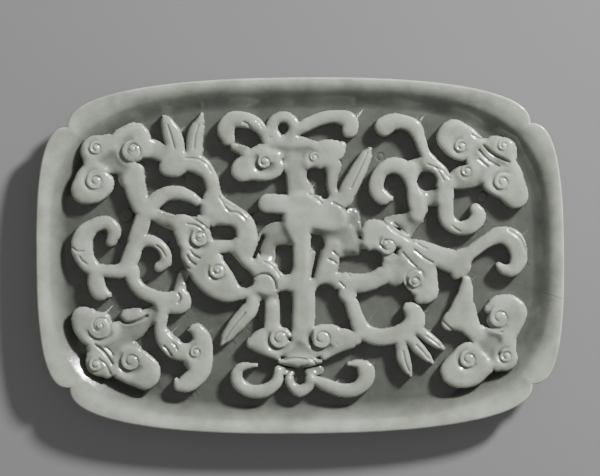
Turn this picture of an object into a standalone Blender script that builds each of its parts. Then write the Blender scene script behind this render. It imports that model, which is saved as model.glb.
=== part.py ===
"""A shallow stone tray with four lobes and standing scrollwork, carved from one block.

Metres, +Z up. The origin lies under the middle of the foot, X runs along the tray and Y
across it. The rim, the wall, the floor, the foot and the scrolls are one solid. The
scrolls are drawn as strokes on a sheet of the tray's own outline, and the sheet follows
the tray's length and width.
"""
import math

import bpy
import bmesh
from mathutils import Vector

# Sizes of the tray
TRAY_LENGTH = 0.200
TRAY_WIDTH = 0.135
FLOOR_THICKNESS = 0.0046
RIM_RISE = 0.0054
EDGE_ROUNDING = 0.0006
WALL_RUN = 0.0112
FOOT_HEIGHT = 0.0020
FOOT_WIDTH = 0.0042
FOOT_INSET = 0.0125
FOOT_TAPER = 0.0005

# Sizes of the scrollwork, which stands on the floor and is rooted in it
SCROLL_RISE = 0.0050
ROOT_DEPTH = 0.0010

# Shape of a stroke and of a boss, as shares of their own width and rise
SHOULDER_RUN = 0.2
SHOULDER_DROP = 0.26
DOME_TOP = 0.62
DOME_DROP = 0.2
BOSS_LEVEL = 1.06
BOSS_ROOT = 1.3
HAIR = 0.006
ROOT_HAIR = 0.03

# Shape of the outline, as shares of the tray's own half length and half width
NOTCH_ALONG = 0.877
NOTCH_ACROSS = 0.732
LONG_LOBE_POWER = 2.4
SHORT_LOBE_POWER = 2.7
WELL_POWER = 3.33
WALL_SKEW = 1.15
NOTCH_REACH = 0.4

# The sheet that the strokes are drawn on, in millimetres
SHEET_LENGTH = 200.0
SHEET_WIDTH = 135.0

# How finely the curves are cut into flat faces
LONG_LOBE_STEPS = 8
SHORT_LOBE_STEPS = 6
FLANK_STEPS = 3
EDGE_STEPS = 1
WALL_STEPS = 5
STROKE_TURN = math.radians(60)
END_TURN = math.radians(58)
BOSS_SIDES = 7

# Levels of the carving, as shares of the scrollwork's full height.
CROWN = 1.0
LOBE = 0.93
NECK = 0.84
WEB = 0.72
LOW = 0.5

# Every stroke is a level and its points: x, y and width, in millimetres on the carver's drawing.
TOP_LEFT_HEAD = [
    (WEB, [(-78.0, 35.6, 7.5), (-70.5, 37.4, 11.6), (-65.4, 34.0, 8.0), (-64.6, 30.0, 8.6)]),
    (LOBE, [(-80.2, 27.0, 8.4), (-75.2, 28.6, 8.4)]),
    (LOBE, [(-79.6, 36.2, 5.2), (-78.3, 41.2, 9.2), (-73.5, 43.0, 7.2), (-69.0, 44.2, 5.4)]),
    (CROWN, [(-79.3, 35.0, 4.5), (-82.2, 30.0, 6.0), (-82.3, 24.9, 8.6), (-77.6, 23.0, 5.0),
             (-73.4, 26.0, 4.6), (-72.8, 29.4, 4.4), (-75.8, 31.6, 3.2)]),
    (CROWN, [(-70.6, 43.6, 5.6), (-66.4, 45.6, 7.6), (-61.9, 46.4, 9.2), (-60.2, 42.4, 8.6),
             (-62.0, 39.4, 6.6)]),
    (LOBE, [(-61.8, 32.6, 6.0), (-62.8, 28.8, 8.4), (-62.0, 24.5, 8.2), (-60.4, 19.5, 7.4)]),
    (NECK, [(-58.5, 41.6, 5.0), (-54.6, 40.2, 4.4), (-50.5, 37.8, 5.0)]),
]
TOP_LEFT_LEAVES = [
    (LOBE, [(-51.3, 53.2, 1.6), (-49.9, 50.4, 5.2), (-48.3, 46.4, 7.2), (-47.2, 42.4, 7.6),
            (-46.6, 38.5, 7.2)]),
    (LOBE, [(-36.9, 54.0, 1.4), (-37.7, 51.2, 3.6), (-39.0, 47.8, 5.9), (-39.7, 44.2, 6.3),
            (-39.8, 39.8, 6.4)]),
]
LEFT_MAIN_STEM = [
    (CROWN, [(-49.6, 34.1, 7.6), (-47.0, 34.6, 9.0), (-43.4, 36.0, 7.6), (-38.2, 34.8, 7.4),
             (-34.2, 30.6, 5.6),
             (-32.9, 25.6, 5.4), (-32.4, 20.5, 8.4), (-27.2, 16.3, 8.6), (-21.9, 12.6, 8.4), (-20.1, 7.4, 8.2),
             (-19.9, 1.5, 7.4), (-16.6, -2.9, 6.6), (-11.9, -5.0, 6.6), (-8.4, -9.6, 6.4), (-3.2, -10.4, 6.6),
             (0.0, -6.0, 6.4), (0.3, 0.5, 6.2), (0.2, 7.0, 6.4), (-1.2, 12.5, 9.0)]),
    (CROWN, [(-38.8, 20.9, 3.6), (-42.0, 22.9, 4.6), (-46.2, 24.2, 5.4), (-50.6, 23.8, 5.6),
             (-55.0, 21.0, 6.2),
             (-58.6, 16.4, 6.4), (-60.7, 11.0, 6.4), (-62.2, 6.4, 6.6)]),
    (WEB, [(-56.4, 16.8, 5.0), (-51.5, 14.2, 5.6), (-47.5, 12.8, 6.0)]),
    (LOBE, [(-36.2, 20.4, 3.4), (-35.4, 16.6, 4.8), (-32.6, 13.4, 4.8)]),
]
LEFT_SWIRL = [
    (CROWN, [(-78.0, -4.6, 4.8), (-72.0, -5.4, 4.9), (-66.8, -4.6, 6.2), (-64.2, 0.2, 6.8),
             (-62.2, 4.8, 6.4),
             (-57.8, 6.2, 4.7), (-53.4, 4.5, 4.0), (-51.2, 1.2, 4.4), (-51.2, -2.0, 4.8), (-53.4, -3.8, 4.2)]),
    (CROWN, [(-71.7, 6.0, 4.2), (-70.6, 10.0, 5.4), (-73.2, 13.0, 5.2), (-78.0, 12.0, 5.6),
             (-82.0, 8.4, 7.6),
             (-82.9, 3.5, 8.2), (-81.0, -1.6, 7.0), (-77.6, -5.2, 5.6)]),
    (CROWN, [(-77.6, -6.0, 6.2), (-77.4, -10.2, 6.8), (-76.2, -13.2, 6.4), (-73.0, -14.2, 2.6)]),
    (CROWN, [(-64.2, -5.0, 6.0), (-63.4, -9.0, 5.2), (-60.4, -12.9, 5.4), (-55.4, -15.4, 5.4),
             (-50.4, -17.4, 8.0),
             (-46.2, -17.2, 9.4)]),
    (LOBE, [(-45.2, -13.2, 4.0), (-45.4, -17.0, 8.0)]),
    (LOW, [(-45.8, -12.0, 4.6), (-44.6, -7.0, 4.6)]),
]
LEFT_CENTRE_HEAD = [
    (WEB, [(-38.5, 8.0, 9.5), (-36.5, 4.5, 8.0)]),
    (CROWN, [(-36.6, 11.6, 3.8), (-40.5, 13.2, 5.4), (-44.6, 11.2, 7.0), (-44.4, 5.6, 4.6)]),
    (LOBE, [(-43.4, 4.0, 4.6), (-41.6, -0.6, 7.0), (-38.6, -5.2, 8.6), (-33.6, -10.8, 8.8),
            (-28.5, -13.3, 8.6),
            (-22.5, -14.2, 5.4), (-18.6, -13.4, 3.0)]),
    (LOBE, [(-37.0, 0.6, 6.0), (-30.5, 3.6, 5.0), (-24.0, 3.0, 6.4), (-20.5, -1.5, 6.4)]),
    (NECK, [(-34.8, -2.0, 6.0), (-31.5, -4.5, 7.5)]),
    (LOBE, [(-29.2, -8.2, 5.2), (-25.6, -10.2, 4.0)]),
    (LOBE, [(-21.6, -3.4, 5.0), (-18.6, -5.6, 3.2)]),
]
CENTRE = [
    (CROWN, [(-12.2, 19.9, 7.4), (-6.0, 19.4, 7.6), (1.5, 18.6, 9.4), (8.0, 16.2, 12.6),
             (12.2, 14.9, 11.6)]),
    (NECK, [(-1.8, 34.0, 7.0), (-1.8, 29.0, 6.8), (-0.4, 24.0, 8.6)]),
    (NECK, [(12.8, 34.0, 6.4), (12.4, 30.0, 4.6), (12.2, 26.0, 4.0), (12.8, 22.0, 5.0)]),
    (LOBE, [(26.8, 40.2, 1.8), (24.7, 36.6, 5.2), (21.9, 31.2, 6.4), (19.0, 26.0, 6.8), (16.8, 21.0, 6.6)]),
    (LOW, [(19.8, 15.0, 6.0), (19.4, 8.5, 7.5), (14.5, 3.6, 8.6), (21.5, 1.6, 4.0)]),
    (NECK, [(-3.5, 14.0, 7.0), (-0.5, 9.5, 9.0)]),
    (LOBE, [(-13.4, -10.6, 7.2), (-10.2, -11.2, 7.2)]),
    (WEB, [(-11.8, -0.5, 5.0), (-11.8, 5.2, 6.4), (-6.6, 7.6, 6.4), (-2.6, 10.4, 6.0)]),
    (WEB, [(4.6, 0.6, 2.8), (4.3, -4.6, 3.4), (4.6, -10.6, 8.0)]),
    (LOBE, [(12.4, 2.6, 6.0), (11.2, -3.4, 7.0), (10.2, -8.4, 8.0), (15.6, -10.0, 6.4), (22.0, -10.8, 7.4),
            (27.8, -9.8, 6.8), (31.0, -7.4, 6.0)]),
    (LOBE, [(18.2, -9.4, 6.4), (17.9, -14.4, 7.4), (18.2, -17.0, 4.2)]),
    (LOBE, [(1.0, -12.0, 9.0), (1.2, -18.0, 8.8), (1.0, -24.0, 8.8), (0.6, -29.0, 8.0)]),
    (LOBE, [(-10.9, -19.6, 5.4), (-10.9, -23.5, 5.8), (-10.6, -28.0, 7.0)]),
]
TOP_HEAD = [
    (WEB, [(-17.0, 38.0, 5.4), (-12.0, 40.2, 5.6), (-6.0, 39.6, 6.0), (0.5, 39.4, 6.0), (6.0, 40.0, 5.4),
           (9.6, 39.8, 5.0)]),
    (LOBE, [(-16.4, 34.2, 7.0), (-11.0, 34.8, 7.4)]),
    (WEB, [(-3.0, 37.0, 6.5), (-2.6, 33.0, 7.0)]),
    (CROWN, [(-12.6, 38.6, 3.0), (-9.0, 37.0, 4.2), (-8.1, 33.2, 4.6), (-11.0, 30.8, 4.2),
             (-17.0, 31.0, 4.8),
             (-22.0, 32.6, 8.2), (-18.6, 36.8, 6.6), (-14.4, 40.4, 4.6)]),
    (CROWN, [(4.5, 35.0, 5.0), (8.9, 36.6, 7.2), (13.4, 39.2, 7.4), (16.2, 41.6, 3.4)]),
    (CROWN, [(14.0, 41.6, 4.2), (10.6, 41.7, 4.8), (6.5, 41.6, 3.4)]),
    (LOBE, [(-13.4, 43.2, 1.8), (-9.0, 43.6, 3.8), (-4.5, 43.6, 5.0), (0.5, 43.2, 4.2), (6.0, 42.4, 2.2)]),
    (LOBE, [(-8.6, 45.4, 4.0), (-10.3, 47.6, 4.6), (-9.6, 50.9, 4.6), (-6.1, 52.6, 4.6), (-2.6, 50.9, 4.6),
            (-1.9, 47.6, 4.6), (-3.6, 45.4, 4.0)]),
    (CROWN, [(-27.0, 44.4, 5.2), (-27.8, 48.2, 6.8), (-25.6, 51.6, 6.4), (-21.0, 51.7, 6.2),
             (-16.8, 50.3, 5.4),
             (-13.6, 47.0, 4.4), (-12.6, 44.0, 3.6)]),
    (CROWN, [(-1.0, 47.4, 4.4), (3.4, 49.8, 5.0), (8.6, 51.9, 5.0), (14.0, 52.6, 5.0), (18.8, 51.2, 6.6),
             (19.3, 47.6, 6.2), (18.0, 46.0, 2.4)]),
    (WEB, [(-24.6, 41.2, 3.6), (-20.5, 39.6, 4.4)]),
]
TOP_RIGHT_STEMS = [
    (CROWN, [(32.4, 48.7, 7.6), (35.6, 50.4, 6.6), (39.8, 50.2, 5.6), (43.7, 48.2, 6.0), (45.8, 43.6, 4.6),
             (47.5, 38.8, 4.0), (50.0, 34.6, 5.6), (53.4, 30.4, 6.6), (55.4, 25.0, 6.6), (55.2, 18.6, 6.2),
             (56.0, 13.0, 6.0), (60.4, 9.9, 5.4), (65.2, 10.8, 6.0), (67.8, 14.4, 6.0), (66.8, 17.0, 4.6)]),
    (CROWN, [(34.4, 21.4, 2.6), (31.2, 21.9, 6.0), (29.0, 25.6, 5.8), (30.8, 31.4, 5.4), (35.6, 33.9, 6.2),
             (40.6, 32.0, 6.6), (42.9, 26.6, 5.2), (44.2, 20.0, 6.6), (44.6, 15.4, 5.6)]),
    (NECK, [(42.6, 33.6, 4.6), (48.4, 34.6, 6.4)]),
    (WEB, [(46.4, 21.6, 6.4), (49.4, 21.8, 4.6), (52.6, 23.6, 3.2)]),
    (WEB, [(44.6, 13.4, 5.0), (41.4, 10.0, 5.0), (39.6, 6.8, 4.6)]),
]
TOP_RIGHT_HEAD = [
    (WEB, [(66.0, 41.6, 6.0), (70.0, 38.8, 10.0), (74.6, 36.0, 9.0), (78.8, 34.2, 7.4)]),
    (NECK, [(64.6, 42.4, 3.6), (68.6, 40.8, 4.8)]),
    (LOBE, [(75.6, 27.2, 8.4), (79.6, 27.0, 8.4)]),
    (NECK, [(57.6, 27.6, 6.0), (62.2, 29.0, 9.0), (66.6, 30.4, 9.6), (69.6, 34.0, 8.0)]),
    (LOBE, [(59.2, 44.0, 8.6), (62.6, 41.2, 8.4)]),
    (CROWN, [(67.6, 43.0, 4.6), (63.4, 45.8, 6.2), (58.4, 47.2, 8.0), (55.9, 44.4, 7.8), (57.8, 40.4, 6.4),
             (61.8, 37.6, 4.8), (64.2, 39.6, 3.4)]),
    (LOBE, [(71.6, 42.8, 2.4), (74.6, 41.6, 6.6), (78.4, 39.8, 8.0), (80.6, 37.2, 4.4)]),
    (CROWN, [(80.6, 34.4, 4.0), (82.4, 29.0, 5.4), (82.4, 21.4, 8.4), (76.8, 23.4, 5.2), (71.8, 26.6, 5.2),
             (72.8, 29.8, 4.0), (77.2, 30.4, 3.2)]),
]
RIGHT_CENTRE_HEAD = [
    (WEB, [(33.6, -2.0, 5.0), (36.0, -5.4, 9.6), (41.0, -5.0, 10.0), (44.0, -8.5, 11.0),
           (45.5, -12.5, 8.0)]),
    (LOBE, [(29.6, 6.2, 7.4), (33.6, 4.6, 8.0)]),
    (CROWN, [(30.2, 1.6, 3.4), (26.6, 4.8, 5.6), (26.4, 9.8, 6.4), (30.6, 10.1, 6.0), (35.6, 7.4, 5.4),
             (40.6, 3.6, 5.6), (46.0, 1.8, 7.2), (52.0, -0.8, 8.0), (57.0, -2.6, 9.0), (60.2, -4.2, 9.4),
             (59.3, -7.4, 4.6)]),
    (LOBE, [(38.6, 0.6, 4.0), (43.6, -2.6, 6.0), (48.6, -5.4, 6.0)]),
    (CROWN, [(48.8, -4.0, 5.6), (49.6, -8.6, 4.8), (48.6, -14.4, 7.4), (45.6, -16.4, 5.0)]),
    (CROWN, [(60.4, -2.4, 8.0), (64.8, 0.6, 5.4), (70.2, 4.4, 5.2), (75.8, 7.0, 6.6), (81.0, 5.1, 7.8),
             (83.0, -1.0, 6.8), (81.0, -5.8, 5.6), (77.4, -6.0, 4.2), (75.4, -4.4, 2.6)]),
]
RIGHT_LOWER_SCROLL = [
    (CROWN, [(19.4, -18.5, 5.4), (20.8, -23.0, 5.6), (23.2, -28.2, 6.6), (28.0, -31.0, 6.6),
             (34.0, -31.0, 6.6),
             (39.6, -29.2, 7.4), (43.3, -25.4, 8.2), (42.6, -21.6, 6.8), (41.0, -20.4, 4.6)]),
    (LOBE, [(41.5, -45.8, 1.4), (40.0, -42.6, 4.4), (38.8, -39.2, 5.4), (38.0, -34.5, 4.8)]),
    (LOBE, [(49.8, -41.0, 1.4), (47.4, -38.6, 3.8), (44.8, -35.8, 4.8), (42.0, -32.4, 4.8)]),
    (LOBE, [(53.8, -35.6, 2.0), (51.3, -33.8, 3.6), (48.4, -31.6, 4.2), (45.6, -29.4, 4.2)]),
    (CROWN, [(62.9, -10.0, 3.8), (62.7, -14.5, 6.0), (61.4, -19.5, 8.0), (59.4, -23.6, 8.2),
             (56.7, -25.9, 6.6)]),
    (LOBE, [(62.6, -21.0, 8.0), (63.8, -26.4, 8.2), (66.2, -30.4, 6.0)]),
]
BOTTOM_RIGHT_HEAD = [
    (WEB, [(67.4, -30.4, 7.6), (71.2, -33.4, 10.6), (76.0, -33.6, 8.0)]),
    (WEB, [(70.4, -36.0, 8.0), (71.4, -40.0, 8.4)]),
    (LOBE, [(67.2, -41.6, 8.0), (61.6, -41.8, 8.0)]),
    (LOBE, [(75.4, -25.0, 9.4), (78.2, -24.0, 8.4)]),
    (CROWN, [(71.8, -20.8, 4.2), (75.0, -18.6, 5.6), (79.6, -19.2, 7.2), (82.2, -22.2, 7.6),
             (80.8, -27.2, 6.6),
             (79.0, -31.5, 5.8), (79.6, -35.5, 4.6)]),
    (CROWN, [(66.2, -37.6, 3.4), (64.0, -35.3, 4.2), (60.2, -38.4, 5.6), (56.8, -44.2, 8.2),
             (59.4, -47.2, 7.2),
             (65.2, -46.8, 6.6), (70.4, -43.2, 5.4)]),
    (LOBE, [(79.6, -36.5, 4.6), (78.2, -40.4, 7.6), (74.6, -42.6, 4.4)]),
]
BOTTOM_HEAD = [
    (WEB, [(-12.5, -34.0, 7.0), (-4.0, -35.6, 6.4), (4.0, -36.0, 6.4), (11.0, -34.0, 6.0)]),
    (WEB, [(0.2, -29.0, 7.6), (0.0, -34.0, 8.0)]),
    (CROWN, [(-18.2, -33.0, 5.4), (-15.2, -31.6, 7.2), (-11.0, -28.8, 5.4), (-6.8, -28.4, 3.4),
             (-4.5, -30.2, 2.4)]),
    (CROWN, [(-17.0, -34.0, 4.8), (-12.8, -36.4, 3.8), (-9.0, -38.2, 3.0)]),
    (CROWN, [(20.8, -31.6, 5.4), (17.0, -31.6, 7.4), (13.0, -29.6, 5.8), (9.5, -28.0, 3.8),
             (5.6, -28.4, 3.2)]),
    (CROWN, [(19.4, -33.6, 3.6), (13.2, -35.8, 3.6), (8.8, -38.4, 3.0)]),
    (LOBE, [(-8.0, -40.2, 1.8), (-4.5, -40.2, 4.0), (-0.5, -40.4, 4.8), (3.5, -40.3, 4.0),
            (7.4, -40.2, 1.8)]),
    (LOW, [(-8.0, -43.6, 3.4), (-3.6, -44.2, 3.0)]),
    (LOW, [(2.6, -44.2, 3.0), (7.0, -43.6, 3.4)]),
    (LOBE, [(-4.5, -46.6, 3.4), (-4.0, -49.0, 3.6), (-0.7, -51.4, 4.8), (2.9, -49.4, 4.2),
            (3.6, -46.6, 4.4)]),
    (CROWN, [(-8.6, -43.4, 3.6), (-9.4, -47.8, 4.6), (-13.6, -51.1, 5.2), (-19.5, -51.3, 5.0),
             (-23.8, -48.3, 5.0),
             (-24.6, -45.0, 4.6), (-22.6, -42.2, 3.4), (-17.0, -41.4, 1.6)]),
    (CROWN, [(5.4, -47.4, 3.6), (9.6, -49.4, 5.0), (15.0, -51.3, 5.2), (20.6, -50.9, 5.4),
             (24.2, -47.6, 6.4),
             (24.6, -43.8, 6.6), (22.2, -41.4, 3.4), (18.2, -41.3, 1.8)]),
    (LOBE, [(-29.9, -33.2, 1.8), (-27.2, -29.4, 5.2), (-23.4, -24.8, 6.6), (-19.8, -20.8, 6.6),
            (-17.8, -18.2, 4.6)]),
]
BOTTOM_LEFT_HEAD = [
    (WEB, [(-70.5, -28.5, 8.0), (-65.0, -27.8, 9.6), (-58.8, -23.6, 7.0), (-54.0, -20.6, 6.0),
           (-50.6, -19.6, 5.0)]),
    (WEB, [(-66.0, -33.6, 7.0), (-62.4, -35.4, 4.0)]),
    (WEB, [(-77.5, -31.0, 8.0), (-70.5, -35.5, 11.0), (-66.0, -41.0, 9.0), (-62.0, -44.0, 7.0)]),
    (CROWN, [(-79.8, -21.8, 5.0), (-83.2, -22.4, 7.2), (-84.3, -26.2, 4.6), (-82.2, -30.4, 3.8),
             (-79.4, -33.0, 2.8)]),
    (LOBE, [(-81.0, -25.4, 6.0), (-78.0, -29.0, 6.6)]),
    (NECK, [(-79.2, -34.4, 4.6), (-75.0, -38.4, 6.0), (-71.0, -42.6, 5.4)]),
    (LOBE, [(-79.3, -37.2, 4.6), (-77.6, -40.6, 8.0), (-73.6, -43.6, 5.0)]),
    (CROWN, [(-64.6, -35.8, 3.0), (-60.0, -38.2, 5.0), (-57.2, -43.0, 7.6), (-58.8, -46.8, 7.2),
             (-64.2, -46.4, 4.6),
             (-69.4, -44.8, 3.0)]),
    (LOBE, [(-66.0, -22.4, 5.2), (-62.0, -21.9, 5.4)]),
    (CROWN, [(-52.4, -22.6, 4.4), (-53.4, -27.0, 4.8), (-51.0, -32.0, 7.0), (-47.2, -35.2, 8.0),
             (-42.6, -36.8, 6.8)]),
    (CROWN, [(-42.4, -28.0, 1.6), (-39.4, -28.2, 5.6), (-37.2, -32.4, 6.8), (-37.4, -38.0, 8.0),
             (-38.6, -43.4, 8.2),
             (-42.2, -47.4, 7.6), (-46.0, -48.8, 5.0), (-47.4, -46.8, 1.8)]),
]
MOTIFS = [TOP_LEFT_HEAD, TOP_LEFT_LEAVES, LEFT_MAIN_STEM, LEFT_SWIRL, LEFT_CENTRE_HEAD, CENTRE, TOP_HEAD,
          TOP_RIGHT_STEMS, TOP_RIGHT_HEAD, RIGHT_CENTRE_HEAD, RIGHT_LOWER_SCROLL, BOTTOM_RIGHT_HEAD,
          BOTTOM_HEAD, BOTTOM_LEFT_HEAD]

# The round bosses that the volutes curl into: x, y and radius on the same drawing.
BOSSES = [
    (-77.9, 28.6, 2.6), (-63.2, 40.6, 4.3), (-38.0, 7.2, 3.3), (-31.0, -4.9, 3.9), (-13.0, 35.4, 2.8),
    (5.0, 37.2, 4.0), (61.2, 41.0, 2.4), (76.8, 27.3, 2.4), (33.2, 3.4, 3.5), (42.6, -9.4, 4.1),
    (73.9, -24.6, 4.7), (64.0, -40.4, 3.0), (-8.1, -31.2, 4.0), (7.6, -31.2, 4.3), (-75.9, -25.8, 5.1),
    (-64.5, -39.3, 3.9), (-40.2, -36.6, 2.3),
]

FLOOR_TOP = FOOT_HEIGHT + FLOOR_THICKNESS
RIM_TOP = FLOOR_TOP + RIM_RISE


def quarter_outline():
    """Quarter of the outline, in shares of the half length and half width, from +X to +Y."""
    points = []
    for step in range(SHORT_LOBE_STEPS):
        across = math.sin(0.5 * math.pi * step / SHORT_LOBE_STEPS)
        bulge = (1.0 - across ** SHORT_LOBE_POWER) ** (1.0 / SHORT_LOBE_POWER)
        points.append((NOTCH_ALONG + (1.0 - NOTCH_ALONG) * bulge, NOTCH_ACROSS * across))
    for step in range(LONG_LOBE_STEPS):
        along = math.cos(0.5 * math.pi * step / LONG_LOBE_STEPS)
        bulge = (1.0 - along ** LONG_LOBE_POWER) ** (1.0 / LONG_LOBE_POWER)
        points.append((NOTCH_ALONG * along, NOTCH_ACROSS + (1.0 - NOTCH_ACROSS) * bulge))
    return points


def whole_outline():
    """The four-lobed outline, once round from +X, in shares of the half sizes."""
    first = quarter_outline()
    top = (0.0, 1.0)
    second = [(-x, y) for x, y in reversed(first[1:])]
    upper = first + [top] + second + [(-1.0, 0.0)]
    lower = [(x, -y) for x, y in reversed(upper[1:-1])]
    return upper + lower


def ring(inset, softness):
    """The outline moved in by inset. softness 0 keeps the notches and 1 rounds them away."""
    half_length = 0.5 * TRAY_LENGTH - inset
    half_width = 0.5 * TRAY_WIDTH - inset
    points = []
    for x, y in whole_outline():
        reach = (abs(x) ** WELL_POWER + abs(y) ** WELL_POWER) ** (1.0 / WELL_POWER)
        blend_x = x + (x / reach - x) * softness
        blend_y = y + (y / reach - y) * softness
        points.append((blend_x * half_length, blend_y * half_width))
    return points


def wall_fall(share):
    """How much of its height the wall has lost at a share of its run: one soft double curve."""
    skewed = share ** WALL_SKEW
    return skewed * skewed * (3.0 - 2.0 * skewed)


def tray_profile():
    """Steps of (inset, height, softness) from the middle of the base up and over to the floor."""
    steps = [
        (FOOT_INSET + FOOT_WIDTH + FOOT_TAPER, FOOT_HEIGHT, 1.0),
        (FOOT_INSET + FOOT_WIDTH, 0.0, 1.0),
        (FOOT_INSET, 0.0, 1.0),
        (FOOT_INSET - FOOT_TAPER, FOOT_HEIGHT, 1.0),
    ]
    flank_start = FOOT_INSET - FOOT_TAPER
    flank_rise = RIM_TOP - EDGE_ROUNDING - FOOT_HEIGHT
    for step in range(1, FLANK_STEPS + 1):
        turn = 0.5 * math.pi * step / FLANK_STEPS
        inset = flank_start * (1.0 - math.sin(turn))
        height = FOOT_HEIGHT + flank_rise * (1.0 - math.cos(turn))
        steps.append((inset, height, inset / flank_start))
    for step in range(1, EDGE_STEPS + 1):
        turn = 0.5 * math.pi * step / EDGE_STEPS
        height = RIM_TOP - EDGE_ROUNDING * (1.0 - math.sin(turn))
        steps.append((EDGE_ROUNDING * (1.0 - math.cos(turn)), height, 0.0))
    for step in range(1, WALL_STEPS + 1):
        share = step / WALL_STEPS
        softness = min(1.0, share / NOTCH_REACH)
        height = RIM_TOP - RIM_RISE * wall_fall(share)
        steps.append((EDGE_ROUNDING + WALL_RUN * share, height, softness))
    return steps


def shell(name, rings):
    """A closed skin over rings of equal length, with a flat cap on the first and the last."""
    mesh = bpy.data.meshes.new(name)
    work = bmesh.new()
    rows = [[work.verts.new(point) for point in points] for points in rings]
    count = len(rows[0])
    for lower, upper in zip(rows, rows[1:]):
        for side in range(count):
            after = (side + 1) % count
            work.faces.new((lower[side], lower[after], upper[after], upper[side]))
    work.faces.new(list(reversed(rows[0])))
    work.faces.new(rows[-1])
    bmesh.ops.remove_doubles(work, verts=work.verts, dist=0.00001)
    bmesh.ops.recalc_face_normals(work, faces=work.faces)
    work.to_mesh(mesh)
    work.free()
    return mesh


def tray_blank():
    """The tray without its scrolls: foot, flank, lip, inner wall and flat floor."""
    rings = []
    for inset, height, softness in tray_profile():
        rings.append([(x, y, height) for x, y in ring(inset, softness)])
    return shell("tray", rings)


def on_tray(x, y):
    """A point of the drawing, on the tray."""
    return Vector((x / SHEET_LENGTH * TRAY_LENGTH, y / SHEET_WIDTH * TRAY_WIDTH))


def smooth_route(points):
    """Points and half widths on a smooth curve through a stroke's points, closer where it bends."""
    drawn = [(on_tray(x, y), 0.5 * width / SHEET_WIDTH * TRAY_WIDTH) for x, y, width in points]
    before = (2 * drawn[0][0] - drawn[1][0], drawn[0][1])
    beyond = (2 * drawn[-1][0] - drawn[-2][0], drawn[-1][1])
    padded = [before] + drawn + [beyond]
    route = []
    for index in range(1, len(padded) - 2):
        a, b, c, d = padded[index - 1:index + 3]
        start_bend = abs((b[0] - a[0]).angle_signed(c[0] - b[0], 0))
        end_bend = abs((c[0] - b[0]).angle_signed(d[0] - c[0], 0))
        pieces = max(1, round(0.5 * (start_bend + end_bend) / STROKE_TURN))
        for piece in range(pieces):
            t = piece / pieces
            bow = 2 * a[0] - 5 * b[0] + 4 * c[0] - d[0]
            twist = 3 * b[0] - a[0] - 3 * c[0] + d[0]
            place = 0.5 * (2 * b[0] + (c[0] - a[0]) * t + bow * t ** 2 + twist * t ** 3)
            route.append((place, b[1] + (c[1] - b[1]) * t * t * (3 - 2 * t)))
    route.append(drawn[-1])
    return route


def with_round_ends(route):
    """The route with a rounded cap added at both ends."""
    start_way = (route[0][0] - route[1][0]).normalized()
    end_way = (route[-1][0] - route[-2][0]).normalized()
    start, start_half = route[0]
    end, end_half = route[-1]
    reach, narrowing = math.sin(END_TURN), math.cos(END_TURN)
    first = (start + start_way * start_half * reach, start_half * narrowing)
    last = (end + end_way * end_half * reach, end_half * narrowing)
    return [first] + route + [last]


def stroke_edges(route):
    """Left and right edge points. Inside a tight bend the edge waits for the bend to pass."""
    edges = []
    for index, (place, half) in enumerate(route):
        ahead = route[min(index + 1, len(route) - 1)][0]
        behind = route[max(index - 1, 0)][0]
        way = (ahead - behind).normalized()
        side = Vector((-way.y, way.x)) * half
        left, right = place + side, place - side
        if edges:
            if (left - edges[-1][0]).dot(way) < 0:
                left = edges[-1][0].copy()
            if (right - edges[-1][1]).dot(way) < 0:
                right = edges[-1][1].copy()
        edges.append((left, right))
    return edges


def stroke_mesh(name, points, level, rise, root):
    """One carved stroke rooted in the floor, with upright sides.

    The low webs and necks are flat on top, and every other stroke has soft shoulders.
    """
    across = [(0.0, root), (0.0, FLOOR_TOP + rise), (1.0, FLOOR_TOP + rise), (1.0, root)]
    if level > NECK:
        shoulder = FLOOR_TOP + (1.0 - SHOULDER_DROP) * rise
        across[1:3] = [(0.0, shoulder), (SHOULDER_RUN, FLOOR_TOP + rise),
                       (1.0 - SHOULDER_RUN, FLOOR_TOP + rise), (1.0, shoulder)]
    rings = []
    for left, right in stroke_edges(with_round_ends(smooth_route(points))):
        spots = [(left.lerp(right, share), height) for share, height in across]
        rings.append([(spot.x, spot.y, height) for spot, height in spots])
    return shell(name, rings)


def boss_mesh(name, x, y, radius, rise, root):
    """A round boss with a domed top."""
    middle = on_tray(x, y)
    reach = radius / SHEET_WIDTH * TRAY_WIDTH
    rings = []
    shoulder = FLOOR_TOP + (1.0 - DOME_DROP) * rise
    for share, height in ((1.0, root), (1.0, shoulder), (DOME_TOP, FLOOR_TOP + rise)):
        circle = []
        for side in range(BOSS_SIDES):
            turn = 2 * math.pi * side / BOSS_SIDES
            spot = middle + share * reach * Vector((math.cos(turn), math.sin(turn)))
            circle.append((spot.x, spot.y, height))
        rings.append(circle)
    return shell(name, rings)


def scrollwork():
    """Every stroke and boss as closed shapes in one helper mesh.

    Strokes that meet differ by a hair in height and in root, so no two faces lie in one plane.
    """
    mesh = bpy.data.meshes.new("scrollwork")
    work = bmesh.new()
    strokes = [stroke for motif in MOTIFS for stroke in motif]
    for index, (level, points) in enumerate(strokes):
        kind = index % 5
        rise = SCROLL_RISE * level * (1 - HAIR * kind)
        part = stroke_mesh("stroke", points, level, rise, FLOOR_TOP - ROOT_DEPTH * (1 + ROOT_HAIR * kind))
        work.from_mesh(part)
        bpy.data.meshes.remove(part)
    for index, (x, y, radius) in enumerate(BOSSES):
        kind = index % 4
        rise = SCROLL_RISE * (BOSS_LEVEL + HAIR * kind)
        part = boss_mesh("boss", x, y, radius, rise, FLOOR_TOP - ROOT_DEPTH * (BOSS_ROOT + HAIR * kind))
        work.from_mesh(part)
        bpy.data.meshes.remove(part)
    work.to_mesh(mesh)
    work.free()
    return mesh


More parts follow.
